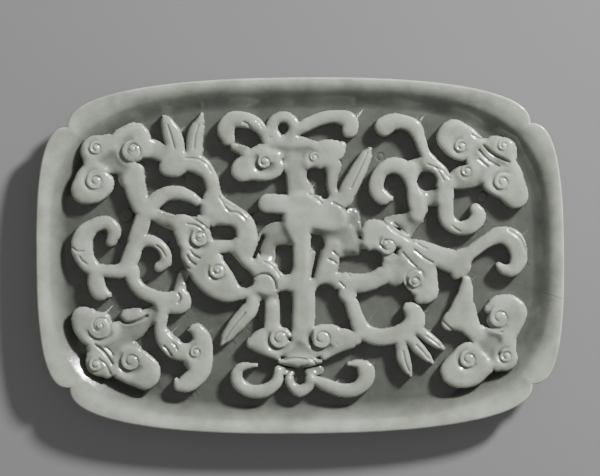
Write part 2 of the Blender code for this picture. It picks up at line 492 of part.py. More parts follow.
def jade():
    """Pale grey-green jade with a soft polish."""
    material = bpy.data.materials.new("pale_jade")
    material.use_nodes = True
    surface = material.node_tree.nodes["Principled BSDF"]
    surface.inputs["Base Color"].default_value = (0.50, 0.53, 0.46, 1.0)
    surface.inputs["Roughness"].default_value = 0.38
    surface.inputs["Metallic"].default_value = 0.0
    return material


for leftover in list(bpy.data.objects):
    bpy.data.objects.remove(leftover, do_unlink=True)

helper = bpy.data.objects.new("scrollwork_helper", scrollwork())
helper.hide_render = True
helper.display_type = "WIRE"
bpy.context.collection.objects.link(helper)

tray = bpy.data.objects.new("tray", tray_blank())
tray.data.materials.append(jade())
bpy.context.collection.objects.link(tray)
union = tray.modifiers.new("carve", "BOOLEAN")
union.operation = "UNION"
union.solver = "EXACT"
union.use_self = True
union.object = helper
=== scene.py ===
import math

import bmesh
import bpy
import numpy as np
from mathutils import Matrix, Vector


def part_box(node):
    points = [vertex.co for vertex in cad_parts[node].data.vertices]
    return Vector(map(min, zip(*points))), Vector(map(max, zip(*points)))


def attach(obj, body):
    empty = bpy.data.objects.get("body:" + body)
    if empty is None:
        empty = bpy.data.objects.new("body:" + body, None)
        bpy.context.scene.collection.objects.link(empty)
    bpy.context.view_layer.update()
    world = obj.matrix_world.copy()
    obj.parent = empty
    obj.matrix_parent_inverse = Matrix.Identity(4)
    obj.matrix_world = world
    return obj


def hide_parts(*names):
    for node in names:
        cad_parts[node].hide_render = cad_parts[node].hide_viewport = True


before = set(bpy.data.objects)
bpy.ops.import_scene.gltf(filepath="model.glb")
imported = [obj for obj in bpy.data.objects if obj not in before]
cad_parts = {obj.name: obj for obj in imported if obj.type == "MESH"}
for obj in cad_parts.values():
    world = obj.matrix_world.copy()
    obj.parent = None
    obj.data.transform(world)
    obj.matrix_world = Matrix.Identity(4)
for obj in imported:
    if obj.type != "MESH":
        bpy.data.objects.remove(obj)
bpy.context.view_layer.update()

# --- The tray: the sheet of scrollwork ---------------------------------------------------
# The tray is one block of pale jade. Its floor was cut back round a drawing of scrolls,
# stems and leaves. The drawing is kept here as strokes, in millimetres from the middle of
# the tray. Each stroke has the share of the full rise that it was left standing at.
# Levels of the carving, as shares of the scrollwork's full height.
CROWN = 1.0
LOBE = 0.93
NECK = 0.84
WEB = 0.72
LOW = 0.5

# Every stroke is a level and its points: x, y and width, in millimetres on the carver's drawing.
TOP_LEFT_HEAD = [
    (WEB, [(-78.0, 35.6, 7.5), (-70.5, 37.4, 11.6), (-65.4, 34.0, 8.0), (-64.6, 30.0, 8.6)]),
    (LOBE, [(-80.2, 27.0, 8.4), (-75.2, 28.6, 8.4)]),
    (LOBE, [(-79.6, 36.2, 5.2), (-78.3, 41.2, 9.2), (-73.5, 43.0, 7.2), (-69.0, 44.2, 5.4)]),
    (CROWN, [(-79.3, 35.0, 4.5), (-82.2, 30.0, 6.0), (-82.3, 24.9, 8.6), (-77.6, 23.0, 5.0),
             (-73.4, 26.0, 4.6), (-72.8, 29.4, 4.4), (-75.8, 31.6, 3.2)]),
    (CROWN, [(-70.6, 43.6, 5.6), (-66.4, 45.6, 7.6), (-61.9, 46.4, 9.2), (-60.2, 42.4, 8.6),
             (-62.0, 39.4, 6.6)]),
    (LOBE, [(-61.8, 32.6, 6.0), (-62.8, 28.8, 8.4), (-62.0, 24.5, 8.2), (-60.4, 19.5, 7.4)]),
    (NECK, [(-58.5, 41.6, 5.0), (-54.6, 40.2, 4.4), (-50.5, 37.8, 5.0)]),
]
TOP_LEFT_LEAVES = [
    (LOBE, [(-51.3, 53.2, 1.6), (-49.9, 50.4, 5.2), (-48.3, 46.4, 7.2), (-47.2, 42.4, 7.6),
            (-46.6, 38.5, 7.2)]),
    (LOBE, [(-36.9, 54.0, 1.4), (-37.7, 51.2, 3.6), (-39.0, 47.8, 5.9), (-39.7, 44.2, 6.3),
            (-39.8, 39.8, 6.4)]),
]
LEFT_MAIN_STEM = [
    (CROWN, [(-49.6, 34.1, 7.6), (-47.0, 34.6, 9.0), (-43.4, 36.0, 7.6), (-38.2, 34.8, 7.4),
             (-34.2, 30.6, 5.6),
             (-32.9, 25.6, 5.4), (-32.4, 20.5, 8.4), (-27.2, 16.3, 8.6), (-21.9, 12.6, 8.4), (-20.1, 7.4, 8.2),
             (-19.9, 1.5, 7.4), (-16.6, -2.9, 6.6), (-11.9, -5.0, 6.6), (-8.4, -9.6, 6.4), (-3.2, -10.4, 6.6),
             (0.0, -6.0, 6.4), (0.3, 0.5, 6.2), (0.2, 7.0, 6.4), (-1.2, 12.5, 9.0)]),
    (CROWN, [(-38.8, 20.9, 3.6), (-42.0, 22.9, 4.6), (-46.2, 24.2, 5.4), (-50.6, 23.8, 5.6),
             (-55.0, 21.0, 6.2),
             (-58.6, 16.4, 6.4), (-60.7, 11.0, 6.4), (-62.2, 6.4, 6.6)]),
    (WEB, [(-56.4, 16.8, 5.0), (-51.5, 14.2, 5.6), (-47.5, 12.8, 6.0)]),
    (LOBE, [(-36.2, 20.4, 3.4), (-35.4, 16.6, 4.8), (-32.6, 13.4, 4.8)]),
]
LEFT_SWIRL = [
    (CROWN, [(-78.0, -4.6, 4.8), (-72.0, -5.4, 4.9), (-66.8, -4.6, 6.2), (-64.2, 0.2, 6.8),
             (-62.2, 4.8, 6.4),
             (-57.8, 6.2, 4.7), (-53.4, 4.5, 4.0), (-51.2, 1.2, 4.4), (-51.2, -2.0, 4.8), (-53.4, -3.8, 4.2)]),
    (CROWN, [(-71.7, 6.0, 4.2), (-70.6, 10.0, 5.4), (-73.2, 13.0, 5.2), (-78.0, 12.0, 5.6),
             (-82.0, 8.4, 7.6),
             (-82.9, 3.5, 8.2), (-81.0, -1.6, 7.0), (-77.6, -5.2, 5.6)]),
    (CROWN, [(-77.6, -6.0, 6.2), (-77.4, -10.2, 6.8), (-76.2, -13.2, 6.4), (-73.0, -14.2, 2.6)]),
    (CROWN, [(-64.2, -5.0, 6.0), (-63.4, -9.0, 5.2), (-60.4, -12.9, 5.4), (-55.4, -15.4, 5.4),
             (-50.4, -17.4, 8.0),
             (-46.2, -17.2, 9.4)]),
    (LOBE, [(-45.2, -13.2, 4.0), (-45.4, -17.0, 8.0)]),
    (LOW, [(-45.8, -12.0, 4.6), (-44.6, -7.0, 4.6)]),
]
LEFT_CENTRE_HEAD = [
    (WEB, [(-38.5, 8.0, 9.5), (-36.5, 4.5, 8.0)]),
    (CROWN, [(-36.6, 11.6, 3.8), (-40.5, 13.2, 5.4), (-44.6, 11.2, 7.0), (-44.4, 5.6, 4.6)]),
    (LOBE, [(-43.4, 4.0, 4.6), (-41.6, -0.6, 7.0), (-38.6, -5.2, 8.6), (-33.6, -10.8, 8.8),
            (-28.5, -13.3, 8.6),
            (-22.5, -14.2, 5.4), (-18.6, -13.4, 3.0)]),
    (LOBE, [(-37.0, 0.6, 6.0), (-30.5, 3.6, 5.0), (-24.0, 3.0, 6.4), (-20.5, -1.5, 6.4)]),
    (NECK, [(-34.8, -2.0, 6.0), (-31.5, -4.5, 7.5)]),
    (LOBE, [(-29.2, -8.2, 5.2), (-25.6, -10.2, 4.0)]),
    (LOBE, [(-21.6, -3.4, 5.0), (-18.6, -5.6, 3.2)]),
]
CENTRE = [
    (CROWN, [(-12.2, 19.9, 7.4), (-6.0, 19.4, 7.6), (1.5, 18.6, 9.4), (8.0, 16.2, 12.6),
             (12.2, 14.9, 11.6)]),
    (NECK, [(-1.8, 34.0, 7.0), (-1.8, 29.0, 6.8), (-0.4, 24.0, 8.6)]),
    (NECK, [(12.8, 34.0, 6.4), (12.4, 30.0, 4.6), (12.2, 26.0, 4.0), (12.8, 22.0, 5.0)]),
    (LOBE, [(26.8, 40.2, 1.8), (24.7, 36.6, 5.2), (21.9, 31.2, 6.4), (19.0, 26.0, 6.8), (16.8, 21.0, 6.6)]),
    (LOW, [(19.8, 15.0, 6.0), (19.4, 8.5, 7.5), (14.5, 3.6, 8.6), (21.5, 1.6, 4.0)]),
    (NECK, [(-3.5, 14.0, 7.0), (-0.5, 9.5, 9.0)]),
    (LOBE, [(-13.4, -10.6, 7.2), (-10.2, -11.2, 7.2)]),
    (WEB, [(-11.8, -0.5, 5.0), (-11.8, 5.2, 6.4), (-6.6, 7.6, 6.4), (-2.6, 10.4, 6.0)]),
    (WEB, [(4.6, 0.6, 2.8), (4.3, -4.6, 3.4), (4.6, -10.6, 8.0)]),
    (LOBE, [(12.4, 2.6, 6.0), (11.2, -3.4, 7.0), (10.2, -8.4, 8.0), (15.6, -10.0, 6.4), (22.0, -10.8, 7.4),
            (27.8, -9.8, 6.8), (31.0, -7.4, 6.0)]),
    (LOBE, [(18.2, -9.4, 6.4), (17.9, -14.4, 7.4), (18.2, -17.0, 4.2)]),
    (LOBE, [(1.0, -12.0, 9.0), (1.2, -18.0, 8.8), (1.0, -24.0, 8.8), (0.6, -29.0, 8.0)]),
    (LOBE, [(-10.9, -19.6, 5.4), (-10.9, -23.5, 5.8), (-10.6, -28.0, 7.0)]),
]
TOP_HEAD = [
    (WEB, [(-17.0, 38.0, 5.4), (-12.0, 40.2, 5.6), (-6.0, 39.6, 6.0), (0.5, 39.4, 6.0), (6.0, 40.0, 5.4),
           (9.6, 39.8, 5.0)]),
    (LOBE, [(-16.4, 34.2, 7.0), (-11.0, 34.8, 7.4)]),
    (WEB, [(-3.0, 37.0, 6.5), (-2.6, 33.0, 7.0)]),
    (CROWN, [(-12.6, 38.6, 3.0), (-9.0, 37.0, 4.2), (-8.1, 33.2, 4.6), (-11.0, 30.8, 4.2),
             (-17.0, 31.0, 4.8),
             (-22.0, 32.6, 8.2), (-18.6, 36.8, 6.6), (-14.4, 40.4, 4.6)]),
    (CROWN, [(4.5, 35.0, 5.0), (8.9, 36.6, 7.2), (13.4, 39.2, 7.4), (16.2, 41.6, 3.4)]),
    (CROWN, [(14.0, 41.6, 4.2), (10.6, 41.7, 4.8), (6.5, 41.6, 3.4)]),
    (LOBE, [(-13.4, 43.2, 1.8), (-9.0, 43.6, 3.8), (-4.5, 43.6, 5.0), (0.5, 43.2, 4.2), (6.0, 42.4, 2.2)]),
    (LOBE, [(-8.6, 45.4, 4.0), (-10.3, 47.6, 4.6), (-9.6, 50.9, 4.6), (-6.1, 52.6, 4.6), (-2.6, 50.9, 4.6),
            (-1.9, 47.6, 4.6), (-3.6, 45.4, 4.0)]),
    (CROWN, [(-27.0, 44.4, 5.2), (-27.8, 48.2, 6.8), (-25.6, 51.6, 6.4), (-21.0, 51.7, 6.2),
             (-16.8, 50.3, 5.4),
             (-13.6, 47.0, 4.4), (-12.6, 44.0, 3.6)]),
    (CROWN, [(-1.0, 47.4, 4.4), (3.4, 49.8, 5.0), (8.6, 51.9, 5.0), (14.0, 52.6, 5.0), (18.8, 51.2, 6.6),
             (19.3, 47.6, 6.2), (18.0, 46.0, 2.4)]),
    (WEB, [(-24.6, 41.2, 3.6), (-20.5, 39.6, 4.4)]),
]
TOP_RIGHT_STEMS = [
    (CROWN, [(32.4, 48.7, 7.6), (35.6, 50.4, 6.6), (39.8, 50.2, 5.6), (43.7, 48.2, 6.0), (45.8, 43.6, 4.6),
             (47.5, 38.8, 4.0), (50.0, 34.6, 5.6), (53.4, 30.4, 6.6), (55.4, 25.0, 6.6), (55.2, 18.6, 6.2),
             (56.0, 13.0, 6.0), (60.4, 9.9, 5.4), (65.2, 10.8, 6.0), (67.8, 14.4, 6.0), (66.8, 17.0, 4.6)]),
    (CROWN, [(34.4, 21.4, 2.6), (31.2, 21.9, 6.0), (29.0, 25.6, 5.8), (30.8, 31.4, 5.4), (35.6, 33.9, 6.2),
             (40.6, 32.0, 6.6), (42.9, 26.6, 5.2), (44.2, 20.0, 6.6), (44.6, 15.4, 5.6)]),
    (NECK, [(42.6, 33.6, 4.6), (48.4, 34.6, 6.4)]),
    (WEB, [(46.4, 21.6, 6.4), (49.4, 21.8, 4.6), (52.6, 23.6, 3.2)]),
    (WEB, [(44.6, 13.4, 5.0), (41.4, 10.0, 5.0), (39.6, 6.8, 4.6)]),
]
TOP_RIGHT_HEAD = [
    (WEB, [(66.0, 41.6, 6.0), (70.0, 38.8, 10.0), (74.6, 36.0, 9.0), (78.8, 34.2, 7.4)]),
    (NECK, [(64.6, 42.4, 3.6), (68.6, 40.8, 4.8)]),
    (LOBE, [(75.6, 27.2, 8.4), (79.6, 27.0, 8.4)]),
    (NECK, [(57.6, 27.6, 6.0), (62.2, 29.0, 9.0), (66.6, 30.4, 9.6), (69.6, 34.0, 8.0)]),
    (LOBE, [(59.2, 44.0, 8.6), (62.6, 41.2, 8.4)]),
    (CROWN, [(67.6, 43.0, 4.6), (63.4, 45.8, 6.2), (58.4, 47.2, 8.0), (55.9, 44.4, 7.8), (57.8, 40.4, 6.4),
             (61.8, 37.6, 4.8), (64.2, 39.6, 3.4)]),
    (LOBE, [(71.6, 42.8, 2.4), (74.6, 41.6, 6.6), (78.4, 39.8, 8.0), (80.6, 37.2, 4.4)]),
    (CROWN, [(80.6, 34.4, 4.0), (82.4, 29.0, 5.4), (82.4, 21.4, 8.4), (76.8, 23.4, 5.2), (71.8, 26.6, 5.2),
             (72.8, 29.8, 4.0), (77.2, 30.4, 3.2)]),
]
RIGHT_CENTRE_HEAD = [
    (WEB, [(33.6, -2.0, 5.0), (36.0, -5.4, 9.6), (41.0, -5.0, 10.0), (44.0, -8.5, 11.0),
           (45.5, -12.5, 8.0)]),
    (LOBE, [(29.6, 6.2, 7.4), (33.6, 4.6, 8.0)]),
    (CROWN, [(30.2, 1.6, 3.4), (26.6, 4.8, 5.6), (26.4, 9.8, 6.4), (30.6, 10.1, 6.0), (35.6, 7.4, 5.4),
             (40.6, 3.6, 5.6), (46.0, 1.8, 7.2), (52.0, -0.8, 8.0), (57.0, -2.6, 9.0), (60.2, -4.2, 9.4),
             (59.3, -7.4, 4.6)]),
    (LOBE, [(38.6, 0.6, 4.0), (43.6, -2.6, 6.0), (48.6, -5.4, 6.0)]),
    (CROWN, [(48.8, -4.0, 5.6), (49.6, -8.6, 4.8), (48.6, -14.4, 7.4), (45.6, -16.4, 5.0)]),
    (CROWN, [(60.4, -2.4, 8.0), (64.8, 0.6, 5.4), (70.2, 4.4, 5.2), (75.8, 7.0, 6.6), (81.0, 5.1, 7.8),
             (83.0, -1.0, 6.8), (81.0, -5.8, 5.6), (77.4, -6.0, 4.2), (75.4, -4.4, 2.6)]),
]
RIGHT_LOWER_SCROLL = [
    (CROWN, [(19.4, -18.5, 5.4), (20.8, -23.0, 5.6), (23.2, -28.2, 6.6), (28.0, -31.0, 6.6),
             (34.0, -31.0, 6.6),
             (39.6, -29.2, 7.4), (43.3, -25.4, 8.2), (42.6, -21.6, 6.8), (41.0, -20.4, 4.6)]),
    (LOBE, [(41.5, -45.8, 1.4), (40.0, -42.6, 4.4), (38.8, -39.2, 5.4), (38.0, -34.5, 4.8)]),
    (LOBE, [(49.8, -41.0, 1.4), (47.4, -38.6, 3.8), (44.8, -35.8, 4.8), (42.0, -32.4, 4.8)]),
    (LOBE, [(53.8, -35.6, 2.0), (51.3, -33.8, 3.6), (48.4, -31.6, 4.2), (45.6, -29.4, 4.2)]),
    (CROWN, [(62.9, -10.0, 3.8), (62.7, -14.5, 6.0), (61.4, -19.5, 8.0), (59.4, -23.6, 8.2),
             (56.7, -25.9, 6.6)]),
    (LOBE, [(62.6, -21.0, 8.0), (63.8, -26.4, 8.2), (66.2, -30.4, 6.0)]),
]
BOTTOM_RIGHT_HEAD = [
    (WEB, [(67.4, -30.4, 7.6), (71.2, -33.4, 10.6), (76.0, -33.6, 8.0)]),
    (WEB, [(70.4, -36.0, 8.0), (71.4, -40.0, 8.4)]),
    (LOBE, [(67.2, -41.6, 8.0), (61.6, -41.8, 8.0)]),
    (LOBE, [(75.4, -25.0, 9.4), (78.2, -24.0, 8.4)]),
    (CROWN, [(71.8, -20.8, 4.2), (75.0, -18.6, 5.6), (79.6, -19.2, 7.2), (82.2, -22.2, 7.6),
             (80.8, -27.2, 6.6),
             (79.0, -31.5, 5.8), (79.6, -35.5, 4.6)]),
    (CROWN, [(66.2, -37.6, 3.4), (64.0, -35.3, 4.2), (60.2, -38.4, 5.6), (56.8, -44.2, 8.2),
             (59.4, -47.2, 7.2),
             (65.2, -46.8, 6.6), (70.4, -43.2, 5.4)]),
    (LOBE, [(79.6, -36.5, 4.6), (78.2, -40.4, 7.6), (74.6, -42.6, 4.4)]),
]
BOTTOM_HEAD = [
    (WEB, [(-12.5, -34.0, 7.0), (-4.0, -35.6, 6.4), (4.0, -36.0, 6.4), (11.0, -34.0, 6.0)]),
    (WEB, [(0.2, -29.0, 7.6), (0.0, -34.0, 8.0)]),
    (CROWN, [(-18.2, -33.0, 5.4), (-15.2, -31.6, 7.2), (-11.0, -28.8, 5.4), (-6.8, -28.4, 3.4),
             (-4.5, -30.2, 2.4)]),
    (CROWN, [(-17.0, -34.0, 4.8), (-12.8, -36.4, 3.8), (-9.0, -38.2, 3.0)]),
    (CROWN, [(20.8, -31.6, 5.4), (17.0, -31.6, 7.4), (13.0, -29.6, 5.8), (9.5, -28.0, 3.8),
             (5.6, -28.4, 3.2)]),
    (CROWN, [(19.4, -33.6, 3.6), (13.2, -35.8, 3.6), (8.8, -38.4, 3.0)]),
    (LOBE, [(-8.0, -40.2, 1.8), (-4.5, -40.2, 4.0), (-0.5, -40.4, 4.8), (3.5, -40.3, 4.0),
            (7.4, -40.2, 1.8)]),
    (LOW, [(-8.0, -43.6, 3.4), (-3.6, -44.2, 3.0)]),
    (LOW, [(2.6, -44.2, 3.0), (7.0, -43.6, 3.4)]),
    (LOBE, [(-4.5, -46.6, 3.4), (-4.0, -49.0, 3.6), (-0.7, -51.4, 4.8), (2.9, -49.4, 4.2),
            (3.6, -46.6, 4.4)]),
    (CROWN, [(-8.6, -43.4, 3.6), (-9.4, -47.8, 4.6), (-13.6, -51.1, 5.2), (-19.5, -51.3, 5.0),
             (-23.8, -48.3, 5.0),
             (-24.6, -45.0, 4.6), (-22.6, -42.2, 3.4), (-17.0, -41.4, 1.6)]),
    (CROWN, [(5.4, -47.4, 3.6), (9.6, -49.4, 5.0), (15.0, -51.3, 5.2), (20.6, -50.9, 5.4),
             (24.2, -47.6, 6.4),
             (24.6, -43.8, 6.6), (22.2, -41.4, 3.4), (18.2, -41.3, 1.8)]),
    (LOBE, [(-29.9, -33.2, 1.8), (-27.2, -29.4, 5.2), (-23.4, -24.8, 6.6), (-19.8, -20.8, 6.6),
            (-17.8, -18.2, 4.6)]),
]
BOTTOM_LEFT_HEAD = [
    (WEB, [(-70.5, -28.5, 8.0), (-65.0, -27.8, 9.6), (-58.8, -23.6, 7.0), (-54.0, -20.6, 6.0),
           (-50.6, -19.6, 5.0)]),
    (WEB, [(-66.0, -33.6, 7.0), (-62.4, -35.4, 4.0)]),
    (WEB, [(-77.5, -31.0, 8.0), (-70.5, -35.5, 11.0), (-66.0, -41.0, 9.0), (-62.0, -44.0, 7.0)]),
    (CROWN, [(-79.8, -21.8, 5.0), (-83.2, -22.4, 7.2), (-84.3, -26.2, 4.6), (-82.2, -30.4, 3.8),
             (-79.4, -33.0, 2.8)]),
    (LOBE, [(-81.0, -25.4, 6.0), (-78.0, -29.0, 6.6)]),
    (NECK, [(-79.2, -34.4, 4.6), (-75.0, -38.4, 6.0), (-71.0, -42.6, 5.4)]),
    (LOBE, [(-79.3, -37.2, 4.6), (-77.6, -40.6, 8.0), (-73.6, -43.6, 5.0)]),
    (CROWN, [(-64.6, -35.8, 3.0), (-60.0, -38.2, 5.0), (-57.2, -43.0, 7.6), (-58.8, -46.8, 7.2),
             (-64.2, -46.4, 4.6),
             (-69.4, -44.8, 3.0)]),
    (LOBE, [(-66.0, -22.4, 5.2), (-62.0, -21.9, 5.4)]),
    (CROWN, [(-52.4, -22.6, 4.4), (-53.4, -27.0, 4.8), (-51.0, -32.0, 7.0), (-47.2, -35.2, 8.0),
             (-42.6, -36.8, 6.8)]),
    (CROWN, [(-42.4, -28.0, 1.6), (-39.4, -28.2, 5.6), (-37.2, -32.4, 6.8), (-37.4, -38.0, 8.0),
             (-38.6, -43.4, 8.2),
             (-42.2, -47.4, 7.6), (-46.0, -48.8, 5.0), (-47.4, -46.8, 1.8)]),
]
MOTIFS = [TOP_LEFT_HEAD, TOP_LEFT_LEAVES, LEFT_MAIN_STEM, LEFT_SWIRL, LEFT_CENTRE_HEAD, CENTRE, TOP_HEAD,
          TOP_RIGHT_STEMS, TOP_RIGHT_HEAD, RIGHT_CENTRE_HEAD, RIGHT_LOWER_SCROLL, BOTTOM_RIGHT_HEAD,
          BOTTOM_HEAD, BOTTOM_LEFT_HEAD]

# The round bosses that the volutes curl into: x, y and radius on the same drawing.
BOSSES = [
    (-77.9, 28.6, 2.6), (-63.2, 40.6, 4.3), (-38.0, 7.2, 3.3), (-31.0, -4.9, 3.9), (-13.0, 35.4, 2.8),
    (5.0, 37.2, 4.0), (61.2, 41.0, 2.4), (76.8, 27.3, 2.4), (33.2, 3.4, 3.5), (42.6, -9.4, 4.1),
    (73.9, -24.6, 4.7), (64.0, -40.4, 3.0), (-8.1, -31.2, 4.0), (7.6, -31.2, 4.3), (-75.9, -25.8, 5.1),
    (-64.5, -39.3, 3.9), (-40.2, -36.6, 2.3),
]

# --- The tray: floor, relief, wall, rim and foot -----------------------------------------
# The floor is a fine sheet that is pushed up into the relief. Its edge is then drawn out
# into the hollow wall, the rounded lip, the flank and the foot ring, and closed below. The
# relief comes from a height rule and not from single blocks, because the scrolls flow into
# each other and share one worn, polished surface.
low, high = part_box("tray")
HALF_LENGTH = 500.0 * (high[0] - low[0])
HALF_WIDTH = 500.0 * (high[1] - low[1])
RIM_TOP = 1000.0 * high[2]
FOOT_HEIGHT = 2.0
FLOOR_TOP = 6.6
EDGE_ROUNDING = 0.6
WALL_RUN = 11.2
FOOT_WIDTH = 4.2
FOOT_INSET = 12.5
WELL_INSET = EDGE_ROUNDING + WALL_RUN
SHEET_INSET = 5.4
SCROLL_RISE = 5.0
EDGE_FALL = 0.85
EDGE_RUN = 3.0
SHOULDER = 0.8
SOFTNESS = 0.9
HIGHEST_RISE = 5.35
WHORL_DEPTH = 0.5
WHORL_DOME = 0.3
GRAIN = 0.25
CELL = 0.3
TRIANGLES = 194000

NOTCH_ALONG = 0.877
NOTCH_ACROSS = 0.732
LONG_LOBE_POWER = 2.4
SHORT_LOBE_POWER = 2.7
WELL_POWER = 3.33


def outline_reach(turn):
    """How far the four-lobed edge is from the middle at each turn, in shares of the half sizes."""
    steps = np.linspace(0.0, 0.5 * math.pi, 600)
    across = np.sin(steps)
    short_x = NOTCH_ALONG + (1 - NOTCH_ALONG) * (1 - across ** SHORT_LOBE_POWER) ** (1 / SHORT_LOBE_POWER)
    short_y = NOTCH_ACROSS * across
    along = np.cos(steps)
    long_x = NOTCH_ALONG * along
    long_y = NOTCH_ACROSS + (1 - NOTCH_ACROSS) * np.maximum(0, 1 - along ** LONG_LOBE_POWER) ** (1 / LONG_LOBE_POWER)
    edge_x = np.concatenate([short_x, long_x[1:]])
    edge_y = np.concatenate([short_y, long_y[1:]])
    quarter = np.arctan2(np.abs(np.sin(turn)), np.abs(np.cos(turn)))
    return np.interp(quarter, np.arctan2(edge_y, edge_x), np.hypot(edge_x, edge_y))


def well_reach(turn):
    """The same for the soft oblong that the floor ends in."""
    return (np.abs(np.cos(turn)) ** WELL_POWER + np.abs(np.sin(turn)) ** WELL_POWER) ** (-1 / WELL_POWER)


def ring_points(turn, inset, softness):
    """The ring of the tray at that inset from the edge. softness 1 rounds the notches away."""
    reach = outline_reach(turn) * (1 - softness) + well_reach(turn) * softness
    return reach * np.cos(turn) * (HALF_LENGTH - inset), reach * np.sin(turn) * (HALF_WIDTH - inset)


def smooth_stroke(points):
    """Points and half widths along a smooth curve through a stroke's points, about 1 mm apart."""
    spots = np.array(points, dtype=float)
    spots[:, 2] *= 0.5
    padded = np.vstack([2 * spots[0] - spots[1], spots, 2 * spots[-1] - spots[-2]])
    route = []
    for a, b, c, d in zip(padded, padded[1:], padded[2:], padded[3:]):
        count = max(2, int(np.hypot(*(c - b)[:2])))
        for t in np.arange(count) / count:
            spot = 0.5 * (2 * b + (c - a) * t + (2 * a - 5 * b + 4 * c - d) * t ** 2 + (3 * b - a - 3 * c + d) * t ** 3)
            spot[2] = b[2] + (c[2] - b[2]) * t * t * (3 - 2 * t)
            route.append(spot)
    route.append(spots[-1])
    return np.array(route)


def depth_inside(x, y, route):
    """How far each point is inside a stroke's edge, and the stroke's half width there."""
    best = np.full(x.shape, -99.0)
    half = np.ones(x.shape)
    for (ax, ay, aw), (bx, by, bw) in zip(route, route[1:]):
        run = (bx - ax) ** 2 + (by - ay) ** 2 + 1e-9
        t = np.clip(((x - ax) * (bx - ax) + (y - ay) * (by - ay)) / run, 0, 1)
        width = aw + (bw - aw) * t
        depth = width - np.hypot(x - ax - t * (bx - ax), y - ay - t * (by - ay))
        closer = depth > best
        best = np.where(closer, depth, best)
        half = np.where(closer, width, half)
    return best, half


# Low webs that close the ground between neighbouring stems, drawn like the strokes above.
WEBS = [
    (NECK, [(-58.5, 41.4, 8.0), (-54.6, 40.6, 7.4), (-50.5, 38.0, 6.0)]),
    (NECK, [(-46.0, 12.5, 7.0), (-41.0, 13.0, 6.6), (-36.5, 12.6, 6.0)]),
    (WEB, [(-37.0, 13.5, 4.4), (-31.5, 13.8, 4.2), (-25.5, 12.9, 3.8)]),
    (NECK, [(-38.0, 2.0, 8.0), (-31.0, 3.6, 5.6), (-24.0, 4.0, 6.4), (-20.5, 0.0, 6.0)]),
    (NECK, [(-31.5, -1.8, 6.0), (-28.6, -6.8, 5.4), (-25.0, -12.2, 4.4)]),
    (NECK, [(-24.4, 1.2, 5.0), (-20.4, -3.0, 5.4), (-16.6, -7.0, 5.0)]),
    (CROWN, [(-13.6, -9.8, 9.2), (-12.4, -10.4, 9.4)]),
    (WEB, [(-12.4, 1.0, 5.6), (-12.6, 7.4, 6.4), (-7.4, 9.4, 7.6), (-1.0, 8.6, 9.0), (1.6, 3.0, 6.0)]),
    (WEB, [(-12.6, -3.0, 5.0), (-11.0, -7.0, 6.0)]),
    (NECK, [(-4.0, -10.5, 7.0), (4.0, -11.0, 8.0)]),
    (WEB, [(11.6, 1.6, 7.0), (10.4, -5.0, 7.4), (9.4, -9.6, 6.4)]),
    (WEB, [(9.0, 6.0, 5.0), (15.0, 5.6, 7.6), (20.0, 4.4, 6.0), (24.4, 3.8, 3.4)]),
    (NECK, [(32.6, -0.8, 5.6), (35.6, -4.6, 9.0), (36.0, -8.4, 7.4)]),
    (NECK, [(18.0, -10.0, 7.0), (25.0, -10.6, 6.4), (32.0, -8.4, 6.0)]),
    (WEB, [(46.2, 17.6, 5.4), (42.4, 13.2, 7.0), (37.0, 12.8, 5.0), (33.0, 13.2, 2.6)]),
    (WEB, [(46.6, 21.6, 7.2), (52.0, 21.4, 6.4)]),
    (WEB, [(46.2, 31.6, 6.0), (51.0, 31.0, 4.6)]),
    (NECK, [(-1.0, 33.6, 7.4), (0.0, 27.6, 7.6), (2.0, 23.6, 7.4)]),
    (WEB, [(1.0, 35.0, 6.0), (9.0, 35.4, 4.0), (13.0, 33.0, 5.0)]),
    (NECK, [(57.6, -25.0, 7.4), (62.6, -26.0, 8.0)]),
    (WEB, [(-11.6, -14.6, 6.2), (-10.8, -18.0, 5.6), (-10.8, -27.4, 6.6)]),
    (WEB, [(-18.8, -17.4, 4.6), (-15.4, -14.4, 5.0)]),
    (WEB, [(11.0, 7.6, 5.0), (17.0, 8.6, 6.4)]),
    (WEB, [(67.0, 35.6, 8.0), (72.0, 33.4, 8.0), (77.4, 33.2, 5.0)]),
    (NECK, [(-79.2, -24.0, 7.0), (-75.0, -23.6, 5.6)]),
    (NECK, [(-41.6, -33.6, 5.0), (-41.2, -39.8, 7.0)]),
    (WEB, [(5.0, 11.0, 6.0), (12.0, 10.5, 8.0)]),
    (WEB, [(8.8, 1.0, 5.0), (8.0, -4.0, 5.4), (7.4, -8.6, 5.4)]),
    (WEB, [(-10.0, 6.8, 6.4), (-3.0, 7.0, 6.4)]),
    (NECK, [(-28.5, -9.4, 6.4), (-24.0, -12.2, 6.4), (-19.0, -12.0, 6.0)]),
]
routes =[(level, smooth_stroke(points)) for motif in MOTIFS + [WEBS] for level, points in motif]

